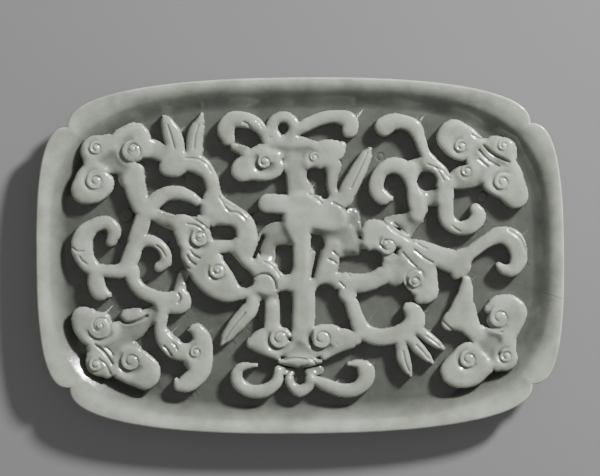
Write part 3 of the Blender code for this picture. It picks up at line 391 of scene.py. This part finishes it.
# Each volute is a snail with one edge that winds in: x and y of the middle, the radius at the
# start and at the end of the edge, where it starts and how far it turns in degrees, and the
# depth and width of the hollow along its outside.
VOLUTES = [
    (-77.4, 28.9, 4.4, 2.8, 75, 250, 0.8, 1.2), (-63.3, 40.2, 4.1, 4.2, 80, 210, 1.0, 1.8),
    (-63.0, 41.2, 1.9, 1.4, 30, 210, 0.35, 0.8), (-38.0, 7.0, 3.6, 3.2, 130, 210, 1.5, 1.6),
    (-37.8, 7.8, 1.5, 1.2, 40, 200, 0.3, 0.8), (-31.4, -5.4, 3.2, 3.1, 140, 200, 1.0, 1.2),
    (-31.2, -5.6, 1.4, 1.0, 10, 200, 0.3, 0.8), (-13.3, 35.6, 2.9, 2.3, 130, 230, 1.7, 2.0),
    (5.6, 37.3, 2.1, 1.6, 20, 280, 0.5, 0.9), (61.3, 40.9, 3.0, 2.0, 70, 270, 0.8, 1.2),
    (76.8, 27.2, 4.0, 2.7, 40, 270, 0.9, 1.2), (32.2, 4.7, 2.0, 1.6, 110, 180, 0.8, 0.9),
    (33.2, 3.3, 3.4, 3.4, 210, 150, 1.0, 1.4), (43.3, -10.2, 2.4, 2.3, 140, 200, 1.0, 1.1),
    (42.9, -9.4, 3.9, 3.9, 0, 100, 0.5, 0.9), (75.4, -24.2, 4.5, 3.6, 110, 210, 0.9, 1.2),
    (63.4, -39.9, 3.8, 3.0, 90, 250, 1.0, 1.4), (-8.1, -31.4, 4.0, 3.6, 140, 200, 1.5, 1.5),
    (7.9, -31.4, 4.3, 3.8, 130, 200, 1.9, 2.1), (-76.1, -26.2, 4.9, 4.7, 190, 150, 1.0, 1.3),
    (-76.0, -26.0, 1.8, 1.4, 20, 240, 0.35, 0.8), (-64.6, -39.5, 4.1, 3.4, 130, 210, 1.4, 1.8),
    (-39.9, -36.3, 2.7, 1.9, 70, 240, 0.6, 0.9), (-77.2, 41.4, 3.0, 2.1, 60, 280, 0.6, 0.9),
    (-77.9, -40.8, 3.2, 2.2, 110, 260, 0.6, 0.9), (77.8, -38.8, 3.2, 2.2, 60, 270, 0.6, 0.9),
    (77.4, 41.0, 2.6, 1.8, 60, 260, 0.4, 0.8), (63.5, 31.5, 2.8, 1.9, 60, 270, 0.5, 0.9),
]

# The openings that were cut clean through the scrolls to the ground: x, y and width.
OPENINGS = [
    [(-31.1, 8.8, 5.5), (-27.1, 8.8, 5.5)], [(-27.3, -0.6, 3.8), (-24.3, -4.5, 4.4), (-20.8, -9.0, 6.2)],
    [(-6.0, 1.2, 5.4), (-6.0, -3.8, 5.4)], [(5.5, 30.5, 5.6), (8.0, 26.0, 4.0), (9.6, 22.8, 2.8)],
    [(-14.2, 7.2, 1.3), (-17.4, -0.4, 1.3)], [(18.3, -3.6, 6.2), (23.0, -4.2, 5.6), (28.0, -1.4, 6.4)],
    [(-5.7, -15.6, 4.4), (-5.7, -25.2, 4.4)], [(9.5, -15.0, 8.0), (12.0, -20.0, 8.4), (16.3, -25.5, 4.8)],
    [(48.3, 27.8, 7.3), (48.4, 27.8, 7.3)], [(-48.6, 19.2, 4.2), (-44.5, 18.6, 4.6), (-40.4, 17.2, 4.4)],
    [(-6.1, 48.5, 3.8), (-6.0, 48.5, 3.8)], [(-0.7, -47.0, 3.8), (-0.2, -44.6, 1.4), (0.2, -42.8, 1.2)],
    [(-43.8, -30.5, 4.8), (-43.7, -30.5, 4.8)], [(6.4, 5.4, 4.8), (6.5, 4.2, 5.2)],
    [(6.9, 1.8, 1.6), (5.8, -3.0, 1.2), (4.6, -8.0, 1.0)],
]
openings =[smooth_stroke(points) for points in OPENINGS]


def wall_height(x, y):
    """How high the bare wall stands over the floor at each point."""
    least, most = np.zeros(x.shape), np.full(x.shape, WELL_INSET)
    for _ in range(18):
        middle = 0.5 * (least + most)
        share_x, share_y = np.abs(x) / (HALF_LENGTH - middle), np.abs(y) / (HALF_WIDTH - middle)
        beyond = share_x ** WELL_POWER + share_y ** WELL_POWER > 1
        most = np.where(beyond, middle, most)
        least = np.where(beyond, least, middle)
    fall = np.clip((least - EDGE_ROUNDING) / WALL_RUN, 0, 1) ** 1.15
    return (RIM_TOP - FLOOR_TOP) * (1 - fall * fall * (3 - 2 * fall))


# The engraved lines on the tops: depth and half width in millimetres, then the points of the line.
ENGRAVED = [
    (0.5, 0.45, [(-21.0, 50.8), (-19.4, 50.2), (-18.4, 48.4)]),
    (0.4, 0.4, [(-16.0, 51.4), (-14.6, 50.4), (-14.0, 49.0)]),
    (0.4, 0.4, [(-43.0, 37.4), (-38.6, 37.0), (-35.0, 34.8), (-33.4, 32.0)]),
    (0.5, 0.5, [(-30.4, 22.6), (-27.0, 17.2), (-23.6, 16.6), (-20.5, 13.8)]),
    (0.4, 0.4, [(-28.0, 20.2), (-25.4, 18.8), (-22.0, 18.0), (-19.5, 15.0)]),
    (0.45, 0.45, [(-54.4, 4.4), (-52.4, 2.8), (-51.0, 0.2)]),
    (0.4, 0.4, [(-83.6, 0.4), (-82.6, -1.2), (-81.0, -2.4)]),
    (0.4, 0.4, [(-86.0, 3.6), (-84.4, 2.4), (-82.2, 2.4)]),
    (0.6, 0.5, [(-42.8, 0.4), (-41.6, -1.8), (-39.8, -3.0)]),
    (0.6, 0.5, [(-41.8, 2.6), (-40.4, 0.6), (-38.2, -0.6)]),
    (0.5, 0.45, [(-44.2, -2.2), (-43.4, -3.8), (-42.2, -4.4)]),
    (0.5, 0.45, [(-40.6, 14.6), (-38.0, 13.0), (-35.0, 10.6)]),
    (0.5, 0.45, [(-42.6, 12.4), (-39.2, 11.8), (-36.6, 9.8)]),
    (0.8, 0.5, [(-78.0, -33.0), (-74.6, -35.8), (-71.4, -40.4)]),
    (0.5, 0.45, [(-74.2, -34.2), (-72.8, -35.4), (-71.4, -37.0)]),
    (0.5, 0.5, [(-76.6, -38.6), (-74.0, -40.6), (-72.4, -44.0)]),
    (0.7, 0.5, [(-51.8, -34.0), (-50.4, -35.4), (-49.2, -37.4)]),
    (0.5, 0.45, [(-48.6, -32.8), (-47.4, -33.8), (-46.8, -35.2)]),
    (0.4, 0.4, [(-50.2, -28.8), (-48.4, -30.4), (-46.4, -31.4)]),
    (0.8, 0.5, [(-46.2, -14.0), (-45.4, -15.6), (-46.4, -17.4)]),
    (0.6, 0.5, [(68.2, 39.4), (71.6, 35.6), (75.8, 33.2)]),
    (0.5, 0.45, [(68.2, 36.0), (69.6, 34.6), (71.4, 33.2)]),
    (0.9, 0.55, [(70.0, 41.2), (73.6, 37.8), (79.6, 34.8)]),
    (0.4, 0.4, [(63.0, 49.6), (65.6, 48.4), (67.2, 46.4)]),
    (0.6, 0.5, [(65.8, 45.4), (67.2, 44.2), (69.0, 43.8)]),
    (0.6, 0.5, [(32.2, 12.2), (37.2, 8.2), (43.0, 5.2)]),
    (0.45, 0.45, [(36.0, 12.0), (38.6, 9.8), (40.6, 8.0)]),
    (0.5, 0.5, [(43.4, 1.8), (46.4, -0.8), (50.2, -3.0)]),
    (0.5, 0.4, [(39.0, 0.8), (41.4, -2.0), (44.0, -4.6)]),
    (0.4, 0.4, [(44.5, 4.4), (46.4, 3.0), (48.2, 2.2)]),
    (0.4, 0.4, [(51.8, 33.0), (53.4, 30.8), (54.8, 28.0)]),
    (0.4, 0.4, [(48.8, 34.2), (53.6, 32.2), (57.2, 28.8)]),
    (0.4, 0.4, [(57.8, 10.8), (59.0, 9.8), (60.6, 8.8)]),
    (0.5, 0.5, [(79.4, 9.0), (83.6, 5.6), (85.8, 0.8)]),
    (0.5, 0.45, [(12.6, 1.4), (14.2, 0.0), (15.8, -1.0)]),
    (0.6, 0.5, [(11.0, -1.4), (13.2, -2.6), (15.4, -4.2)]),
    (0.6, 0.5, [(16.2, -5.4), (17.4, -6.4), (18.8, -7.6)]),
    (0.5, 0.45, [(15.0, -10.2), (15.8, -11.0), (16.8, -12.2)]),
    (0.5, 0.5, [(3.6, 23.4), (6.0, 22.0), (8.4, 19.8)]),
    (0.5, 0.5, [(12.6, 20.0), (15.4, 18.6), (18.0, 16.4)]),
    (0.4, 0.4, [(-13.6, -2.2), (-10.4, -4.0), (-7.6, -7.8)]),
    (0.5, 0.4, [(3.2, -39.0), (4.6, -39.8), (5.8, -41.0)]),
    (0.4, 0.4, [(-80.4, 46.4), (-78.2, 46.0), (-75.8, 46.6)]),
    (0.5, 0.4, [(26.0, 38.8), (23.0, 32.6), (19.6, 25.6)]),
    (0.4, 0.4, [(-49.8, 50.0), (-48.4, 45.6), (-47.2, 41.0)]),
    (0.4, 0.4, [(-38.0, 50.0), (-39.4, 45.4), (-39.8, 41.0)]),
    (0.5, 0.4, [(41.0, -44.2), (39.6, -40.6), (38.8, -36.6)]),
    (0.5, 0.4, [(48.6, -39.6), (46.4, -37.0), (43.8, -34.2)]),
    (0.4, 0.4, [(52.8, -34.8), (50.0, -32.6), (47.4, -30.8)]),
    (0.5, 0.4, [(-28.8, -31.6), (-25.6, -27.0), (-21.0, -21.6)]),
    (0.5, 0.45, [(53.4, -24.8), (55.4, -26.8), (57.4, -28.6)]),
    (0.5, 0.4, [(-6.6, -41.6), (-2.0, -42.6), (2.4, -41.6)]),
    (0.5, 0.4, [(-6.4, -39.4), (-2.0, -38.8), (2.4, -39.4)]),
    (1.3, 0.6, [(-69.0, -22.8), (-66.4, -25.0), (-62.4, -24.4), (-58.4, -22.4)]),
    (0.9, 0.5, [(-17.2, -8.0), (-14.6, -6.8), (-11.6, -7.2), (-9.6, -9.6), (-9.2, -12.4)]),
]

# The rings that a hollow drill left on the floor: x, y and radius in millimetres, and the depth.
DRILL_RINGS = [(30.8, 37.4, 1.3, 0.25), (69.6, 22.0, 2.0, 0.25), (-65.8, 16.0, 2.8, 0.25)]


def plan(x, y):
    """How far each point is inside the edge of the scrollwork, and the level it was left at."""
    inside = np.full(x.shape, -99.0)
    level = np.zeros(x.shape)
    for share, route in routes:
        margin = route[:, 2].max() + 0.5
        near = ((x > route[:, 0].min() - margin) & (x < route[:, 0].max() + margin)
                & (y > route[:, 1].min() - margin) & (y < route[:, 1].max() + margin))
        depth = depth_inside(x[near], y[near], route)[0]
        inside[near] = np.maximum(inside[near], depth)
        level[near] = np.maximum(level[near], np.where(depth > -0.4, share, 0))
    for curl_x, curl_y, first, last, *_ in VOLUTES:
        away = np.hypot(x - curl_x, y - curl_y)
        inside = np.maximum(inside, min(first, last) - away)
        level = np.where(away < 1.5 * max(first, last), np.maximum(level, 0.97), level)
    for route in openings:
        inside = np.minimum(inside, -depth_inside(x, y, route)[0])
    return inside, level


def spread(sheet, reach):
    """The sheet blurred over that many millimetres."""
    steps = np.arange(-3 * reach, 3 * reach + GRAIN, GRAIN)
    weights = np.exp(-0.5 * (steps / reach) ** 2)
    weights /= weights.sum()
    for axis in (0, 1):
        sheet = np.apply_along_axis(lambda line: np.convolve(line, weights, mode="same"), axis, sheet)
    return sheet


# The tops are worked out on a coarser sheet first. Levels run into each other softly there,
# and every edge of the scrollwork as a whole falls off a little.
sheet_x = np.arange(-94.0, 94.1, GRAIN)
sheet_y = np.arange(-62.0, 62.1, GRAIN)
inside, level = plan(*np.meshgrid(sheet_x, sheet_y))
solid = (inside > 0).astype(float)
soft_level = spread(level * solid, SOFTNESS) / np.maximum(spread(solid, SOFTNESS), 0.001)
reach = int(EDGE_RUN / GRAIN)
gap = np.where(inside > 0, EDGE_RUN ** 2, 0.0)
for axis in (0, 1):
    gap = np.min([np.roll(gap, step, axis) + (step * GRAIN) ** 2 for step in range(-reach, reach + 1)], axis=0)
gap = spread(np.minimum(np.sqrt(gap), EDGE_RUN), 0.3)
tops = SCROLL_RISE * soft_level - EDGE_FALL * (1 - gap / EDGE_RUN) ** 2


def relief(x, y):
    """Height over the floor at each point."""
    inside = plan(x, y)[0]
    column = np.clip((x - sheet_x[0]) / GRAIN, 0, len(sheet_x) - 1.001)
    row = np.clip((y - sheet_y[0]) / GRAIN, 0, len(sheet_y) - 1.001)
    i, j = column.astype(int), row.astype(int)
    u, v = column - i, row - j
    body = (tops[j, i] * (1 - u) + tops[j, i + 1] * u) * (1 - v) + (tops[j + 1, i] * (1 - u) + tops[j + 1, i + 1] * u) * v
    for curl_x, curl_y, first, last, start, sweep, depth, wide in VOLUTES:
        away = np.hypot(x - curl_x, y - curl_y)
        near = away < 1.1 * max(first, last) + 2 * wide
        turned = np.mod(np.degrees(np.arctan2(y[near] - curl_y, x[near] - curl_x)) - start, 360)
        along = np.clip(turned / sweep, 0, 1)
        beyond = away[near] - first - (last - first) * along ** 0.7
        hollow = np.exp(-(beyond / np.where(beyond < 0, 0.28, wide)) ** 2)
        ridge = np.exp(-((beyond + 0.6) / 0.45) ** 2)
        strength = np.sin(math.pi * along) ** 0.7
        body[near] += strength * (0.14 * ridge - depth * hollow)
        whorl = np.clip(np.mod(turned - sweep + 30, 360) / 350, 0, 1)
        inner = away[near] - last * (0.92 - 0.6 * whorl)
        body[near] -= WHORL_DEPTH * np.sin(math.pi * whorl) ** 0.5 * np.exp(-(inner / 0.38) ** 2)
        body[near] += WHORL_DOME * np.exp(-(away[near] / (0.7 * last)) ** 2)
    for depth, half, points in ENGRAVED:
        line = smooth_stroke([(px, py, 2 * half) for px, py in points])
        near = ((x > line[:, 0].min() - 2) & (x < line[:, 0].max() + 2)
                & (y > line[:, 1].min() - 2) & (y < line[:, 1].max() + 2))
        away = half - depth_inside(x[near], y[near], line)[0]
        body[near] -= depth * np.exp(-(away / (0.9 * half)) ** 2)
    ground = np.zeros(x.shape)
    for ring_x, ring_y, radius, depth in DRILL_RINGS:
        ground -= depth * np.exp(-((np.hypot(x - ring_x, y - ring_y) - radius) / 0.35) ** 2)
    drop = SHOULDER - np.sqrt(np.maximum(SHOULDER ** 2 - np.maximum(SHOULDER - inside, 0) ** 2, 0))
    wall = wall_height(x, y)
    body = np.minimum(body, HIGHEST_RISE)
    return np.where(inside > 0, np.maximum(body - drop, wall), wall + ground)


def upright_sides(x, y):
    """Moves the points nearest to a scroll's edge onto it, so that the sides stand upright."""
    inside = plan(x, y)[0]
    close = np.abs(inside) < 0.7 * CELL
    nudge = 0.01
    px, py = x[close], y[close]
    here = inside[close]
    slope_x = (plan(px + nudge, py)[0] - here) / nudge
    slope_y = (plan(px, py + nudge)[0] - here) / nudge
    slope = np.maximum(np.hypot(slope_x, slope_y), 0.5) ** 2
    travel = np.where(here > 0, here - 0.02, here + 0.02)
    x[close] -= travel * slope_x / slope
    y[close] -= travel * slope_y / slope
    return x, y


bpy.ops.object.select_all(action="DESELECT")
columns = int(2 * (HALF_LENGTH - SHEET_INSET) / CELL) + 2
rows = int(2 * (HALF_WIDTH - SHEET_INSET) / CELL) + 2
bpy.ops.mesh.primitive_grid_add(x_subdivisions=columns, y_subdivisions=rows, size=1.0)
tray = bpy.context.object
tray.name = "jade_tray"
mesh = tray.data
spots = np.empty(3 * len(mesh.vertices), dtype=np.float32)
mesh.vertices.foreach_get("co", spots)
spots = spots.reshape(-1, 3).astype(float)
spots[:, 0] *= CELL * columns
spots[:, 1] *= CELL * rows
mesh.vertices.foreach_set("co", spots.astype(np.float32).ravel())

# The sheet is trimmed to a soft oblong high on the wall, and its edge is drawn onto it.
share_x = spots[:, 0] / (HALF_LENGTH - SHEET_INSET)
share_y = spots[:, 1] / (HALF_WIDTH - SHEET_INSET)
outside = np.hypot(share_x, share_y) > 0.999 * well_reach(np.arctan2(share_y, share_x))
mesh.vertices.foreach_set("select", outside)
mesh.edges.foreach_set("select", np.zeros(len(mesh.edges), dtype=bool))
mesh.polygons.foreach_set("select", np.zeros(len(mesh.polygons), dtype=bool))
bpy.ops.object.mode_set(mode="EDIT")
bpy.ops.mesh.select_mode(type="VERT")
bpy.ops.mesh.delete(type="VERT")
bpy.ops.mesh.select_all(action="DESELECT")
bpy.ops.mesh.select_non_manifold(extend=False)
bpy.ops.object.mode_set(mode="OBJECT")

spots = np.empty(3 * len(mesh.vertices), dtype=np.float32)
mesh.vertices.foreach_get("co", spots)
spots = spots.reshape(-1, 3).astype(float)
edge = np.empty(len(mesh.vertices), dtype=bool)
mesh.vertices.foreach_get("select", edge)
turn = np.arctan2(spots[edge, 1] / (HALF_WIDTH - SHEET_INSET), spots[edge, 0] / (HALF_LENGTH - SHEET_INSET))
spots[edge, 0], spots[edge, 1] = ring_points(turn, SHEET_INSET, 1.0)
spots[~edge, 0], spots[~edge, 1] = upright_sides(spots[~edge, 0], spots[~edge, 1])
spots[:, 2] = FLOOR_TOP + relief(spots[:, 0], spots[:, 1])
mesh.vertices.foreach_set("co", spots.astype(np.float32).ravel())

# The profile from there up the rest of the wall, over the lip and down the flank to the foot.
profile = []
reached = (SHEET_INSET - EDGE_ROUNDING) / WALL_RUN
for step in range(1, 11):
    share = reached * (1 - step / 10)
    fall = share ** 1.15
    fall = fall * fall * (3 - 2 * fall)
    height = FLOOR_TOP + (RIM_TOP - FLOOR_TOP) * (1 - fall)
    profile.append((EDGE_ROUNDING + WALL_RUN * share, height, min(1.0, share / 0.4)))
for step in range(1, 6):
    over = 0.5 * math.pi * step / 5
    profile.append((EDGE_ROUNDING * (1 - math.sin(over)), RIM_TOP - EDGE_ROUNDING * (1 - math.cos(over)), 0.0))
flank_end = FOOT_INSET - 0.25 * FOOT_HEIGHT
for step in range(1, 11):
    down = 0.5 * math.pi * step / 10
    inset = flank_end * (1 - math.cos(down))
    height = FOOT_HEIGHT + (RIM_TOP - EDGE_ROUNDING - FOOT_HEIGHT) * (1 - math.sin(down))
    profile.append((inset, height, inset / flank_end))
profile += [
    (FOOT_INSET - 0.2, 0.6, 1.0),
    (FOOT_INSET, 0.12, 1.0),
    (FOOT_INSET + 0.4, 0.0, 1.0),
    (FOOT_INSET + FOOT_WIDTH - 0.4, 0.0, 1.0),
    (FOOT_INSET + FOOT_WIDTH, 0.12, 1.0),
    (FOOT_INSET + FOOT_WIDTH + 0.2, 0.6, 1.0),
    (FOOT_INSET + FOOT_WIDTH + 0.9, FOOT_HEIGHT, 1.0),
]
bpy.ops.object.mode_set(mode="EDIT")
last_inset = SHEET_INSET
for inset, height, softness in profile:
    bpy.ops.mesh.extrude_edges_move()
    work = bmesh.from_edit_mesh(mesh)
    drawn = [vertex for vertex in work.verts if vertex.select]
    turn = np.array([math.atan2(v.co.y / (HALF_WIDTH - last_inset), v.co.x / (HALF_LENGTH - last_inset)) for v in drawn])
    ring_x, ring_y = ring_points(turn, inset, softness)
    for vertex, x, y in zip(drawn, ring_x, ring_y):
        vertex.co = (x, y, height)
    bmesh.update_edit_mesh(mesh)
    last_inset = inset
bpy.ops.mesh.edge_face_add()
bpy.ops.mesh.select_all(action="SELECT")
bpy.ops.mesh.normals_make_consistent(inside=False)
bpy.ops.transform.resize(value=(0.001, 0.001, 0.001), center_override=(0, 0, 0))
bpy.ops.object.mode_set(mode="OBJECT")
mesh.calc_loop_triangles()
thinning = tray.modifiers.new("thinning", "DECIMATE")
thinning.ratio = min(1.0, TRIANGLES / len(mesh.loop_triangles))
bpy.ops.object.modifier_apply(modifier=thinning.name)
bpy.ops.object.shade_smooth_by_angle(angle=math.radians(38))
facing = tray.modifiers.new("facing", "WEIGHTED_NORMAL")
facing.keep_sharp = True
bpy.ops.object.modifier_apply(modifier=facing.name)

jade = bpy.data.materials.new("pale_jade")
jade.use_nodes = True
nodes, links = jade.node_tree.nodes, jade.node_tree.links
surface = nodes["Principled BSDF"]
surface.inputs["Coat Roughness"].default_value = 0.08
surface.inputs["IOR"].default_value = 1.61
surface.inputs["Subsurface Weight"].default_value = 1.0
surface.inputs["Subsurface Radius"].default_value = (1.0, 1.0, 0.9)
surface.inputs["Subsurface Scale"].default_value = 0.0022
place = nodes.new("ShaderNodeTexCoord")
# The polisher reached the tops, the ground and the rim, but hardly the upright cut sides.
tilt = nodes.new("ShaderNodeSeparateXYZ")
links.new(place.outputs["Normal"], tilt.inputs["Vector"])
upright = nodes.new("ShaderNodeMath")
upright.operation = "ABSOLUTE"
links.new(tilt.outputs["Z"], upright.inputs[0])
for name, on_sides, on_tops in (("Roughness", 0.85, 0.2), ("Coat Weight", 0.0, 0.8)):
    polish = nodes.new("ShaderNodeMapRange")
    polish.inputs["From Min"].default_value = 0.45
    polish.inputs["From Max"].default_value = 0.75
    polish.inputs["To Min"].default_value = on_sides
    polish.inputs["To Max"].default_value = on_tops
    links.new(upright.outputs["Value"], polish.inputs["Value"])
    links.new(polish.outputs["Result"], surface.inputs[name])
clouds = nodes.new("ShaderNodeTexNoise")
clouds.inputs["Scale"].default_value = 90.0
clouds.inputs["Detail"].default_value = 6.0
clouds.inputs["Roughness"].default_value = 0.6
links.new(place.outputs["Object"], clouds.inputs["Vector"])
tone = nodes.new("ShaderNodeValToRGB")
tone.color_ramp.elements[0].position = 0.34
tone.color_ramp.elements[0].color = (0.40, 0.43, 0.36, 1.0)
tone.color_ramp.elements[1].position = 0.66
tone.color_ramp.elements[1].color = (0.59, 0.62, 0.55, 1.0)
links.new(clouds.outputs["Fac"], tone.inputs["Fac"])
# Painted glow and shade: the base colour gets lighter the higher the stone stands and darker towards the ground.
# This paints glow on the thin rim and tops, and shade on the ground and at the foot of the walls.
parts = nodes.new("ShaderNodeSeparateXYZ")
links.new(place.outputs["Object"], parts.inputs["Vector"])
rise = nodes.new("ShaderNodeMapRange")
rise.inputs["From Min"].default_value = 0.0066
rise.inputs["From Max"].default_value = 0.0119
links.new(parts.outputs["Z"], rise.inputs["Value"])
painted_glow_shade_ramp = nodes.new("ShaderNodeValToRGB")
painted_glow_shade_ramp.color_ramp.elements[0].color = (0.28, 0.28, 0.28, 1.0)
painted_glow_shade_ramp.color_ramp.elements[1].color = (1.0, 1.0, 1.0, 1.0)
for position, shade in ((0.45, 0.46), (0.66, 0.58), (0.82, 0.84)):
    stop = painted_glow_shade_ramp.color_ramp.elements.new(position)
    stop.color = (shade, shade, shade, 1.0)
links.new(rise.outputs["Result"], painted_glow_shade_ramp.inputs["Fac"])
# The painted glow and shade is multiplied into the stone's own mottled colour.
painted_glow_shade_tone = nodes.new("ShaderNodeMix")
painted_glow_shade_tone.data_type = "RGBA"
painted_glow_shade_tone.blend_type = "MULTIPLY"
painted_glow_shade_tone.inputs["Factor"].default_value = 1.0
links.new(tone.outputs["Color"], painted_glow_shade_tone.inputs["A"])
links.new(painted_glow_shade_ramp.outputs["Color"], painted_glow_shade_tone.inputs["B"])
# One thin dark vein crosses the right end and runs out over the rim.
sway = nodes.new("ShaderNodeTexNoise")
sway.inputs["Scale"].default_value = 60.0
sway.inputs["Detail"].default_value = 2.0
links.new(place.outputs["Object"], sway.inputs["Vector"])
lean = nodes.new("ShaderNodeMath")
lean.operation = "MULTIPLY_ADD"
lean.inputs[1].default_value = 0.31
lean.inputs[2].default_value = -0.0146
links.new(parts.outputs["X"], lean.inputs[0])
line = nodes.new("ShaderNodeMath")
line.operation = "ADD"
links.new(lean.outputs["Value"], line.inputs[0])
links.new(parts.outputs["Y"], line.inputs[1])
bent = nodes.new("ShaderNodeMath")
bent.operation = "MULTIPLY_ADD"
bent.inputs[1].default_value = 0.002
links.new(sway.outputs["Fac"], bent.inputs[0])
links.new(line.outputs["Value"], bent.inputs[2])
away = nodes.new("ShaderNodeMath")
away.operation = "ABSOLUTE"
links.new(bent.outputs["Value"], away.inputs[0])
thin = nodes.new("ShaderNodeMapRange")
thin.inputs["From Max"].default_value = 0.00035
thin.inputs["To Min"].default_value = 1.0
thin.inputs["To Max"].default_value = 0.0
links.new(away.outputs["Value"], thin.inputs["Value"])
eastern = nodes.new("ShaderNodeMapRange")
eastern.inputs["From Min"].default_value = 0.061
eastern.inputs["From Max"].default_value = 0.066
eastern.inputs["To Max"].default_value = 0.45
links.new(parts.outputs["X"], eastern.inputs["Value"])
share = nodes.new("ShaderNodeMath")
share.operation = "MULTIPLY"
links.new(thin.outputs["Result"], share.inputs[0])
links.new(eastern.outputs["Result"], share.inputs[1])
veined = nodes.new("ShaderNodeMix")
veined.data_type = "RGBA"
veined.inputs["B"].default_value = (0.10, 0.11, 0.08, 1.0)
links.new(share.outputs["Value"], veined.inputs["Factor"])
links.new(painted_glow_shade_tone.outputs["Result"], veined.inputs["A"])
links.new(veined.outputs["Result"], surface.inputs["Base Color"])
# Tiny pits in the polish break the glints up.
pits = nodes.new("ShaderNodeTexNoise")
pits.inputs["Scale"].default_value = 520.0
pits.inputs["Detail"].default_value = 3.0
pits.inputs["Roughness"].default_value = 0.6
links.new(place.outputs["Object"], pits.inputs["Vector"])
skin = nodes.new("ShaderNodeBump")
skin.inputs["Strength"].default_value = 0.25
skin.inputs["Distance"].default_value = 0.0003
links.new(pits.outputs["Fac"], skin.inputs["Height"])
links.new(skin.outputs["Normal"], surface.inputs["Normal"])
tray.data.materials.clear()
tray.data.materials.append(jade)
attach(tray, "root")
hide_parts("tray")

# --- The table that it was photographed on -----------------------------------------------
# A plain pale sheet, so that nothing takes the eye from the tray.
bpy.ops.object.select_all(action="DESELECT")
bpy.ops.mesh.primitive_plane_add(size=6.0, location=(0, 0, 0))
table = bpy.context.object
table.name = "pale_table"
pale = bpy.data.materials.new("pale_paper")
pale.use_nodes = True
pale.node_tree.nodes["Principled BSDF"].inputs["Base Color"].default_value = (0.24, 0.24, 0.24, 1.0)
pale.node_tree.nodes["Principled BSDF"].inputs["Emission Color"].default_value = (0.5, 0.5, 0.5, 1.0)
pale.node_tree.nodes["Principled BSDF"].inputs["Emission Strength"].default_value = 0.07
pale.node_tree.nodes["Principled BSDF"].inputs["Roughness"].default_value = 0.8
table.data.materials.append(pale)

# --- The light -----------------------------------------------------------------------------
# One soft lamp stands low at the upper right, and a broad dim one hangs overhead.
key = bpy.data.lights.new("key_lamp", "AREA")
key.shape = "DISK"
key.size = 0.17
key.energy = 26.0
key_object = bpy.data.objects.new("key_lamp", key)
key_object.location = (0.72, 0.72, 0.58)
key_object.rotation_euler = (Vector((0, 0, 0.01)) - key_object.location).to_track_quat("-Z", "Y").to_euler()
bpy.context.collection.objects.link(key_object)
fill = bpy.data.lights.new("overhead", "AREA")
fill.size = 1.6
fill.energy = 0.6
fill_object = bpy.data.objects.new("overhead", fill)
fill_object.location = (0.2, 0.2, 1.7)
bpy.context.collection.objects.link(fill_object)
room = bpy.data.worlds.new("room")
room.use_nodes = True
room.node_tree.nodes["Background"].inputs["Color"].default_value = (0.5, 0.5, 0.5, 1.0)
room.node_tree.nodes["Background"].inputs["Strength"].default_value = 0.36
bpy.context.scene.world = room

# --- The camera ----------------------------------------------------------------------------
# It looks straight down from above the middle of the tray, turned half a degree.
FRAME_WIDTH = 600
PIXELS_PER_MM = 2.6425
CAMERA_DISTANCE = 1.2
TRAY_CENTRE_BELOW_MIDDLE = 17.7
ROLL = math.radians(0.5)
camera_data = bpy.data.cameras.new("camera")
camera_data.sensor_width = 36.0
camera_data.lens = 36.0 * PIXELS_PER_MM * 1000 * CAMERA_DISTANCE / FRAME_WIDTH
camera = bpy.data.objects.new("camera", camera_data)
offset = 0.001 * TRAY_CENTRE_BELOW_MIDDLE / PIXELS_PER_MM
camera.location = (offset * math.sin(ROLL), offset * math.cos(ROLL), 0.0133 + CAMERA_DISTANCE)
camera.rotation_euler = (0, 0, -ROLL)
bpy.context.collection.objects.link(camera)
bpy.context.scene.camera = camera
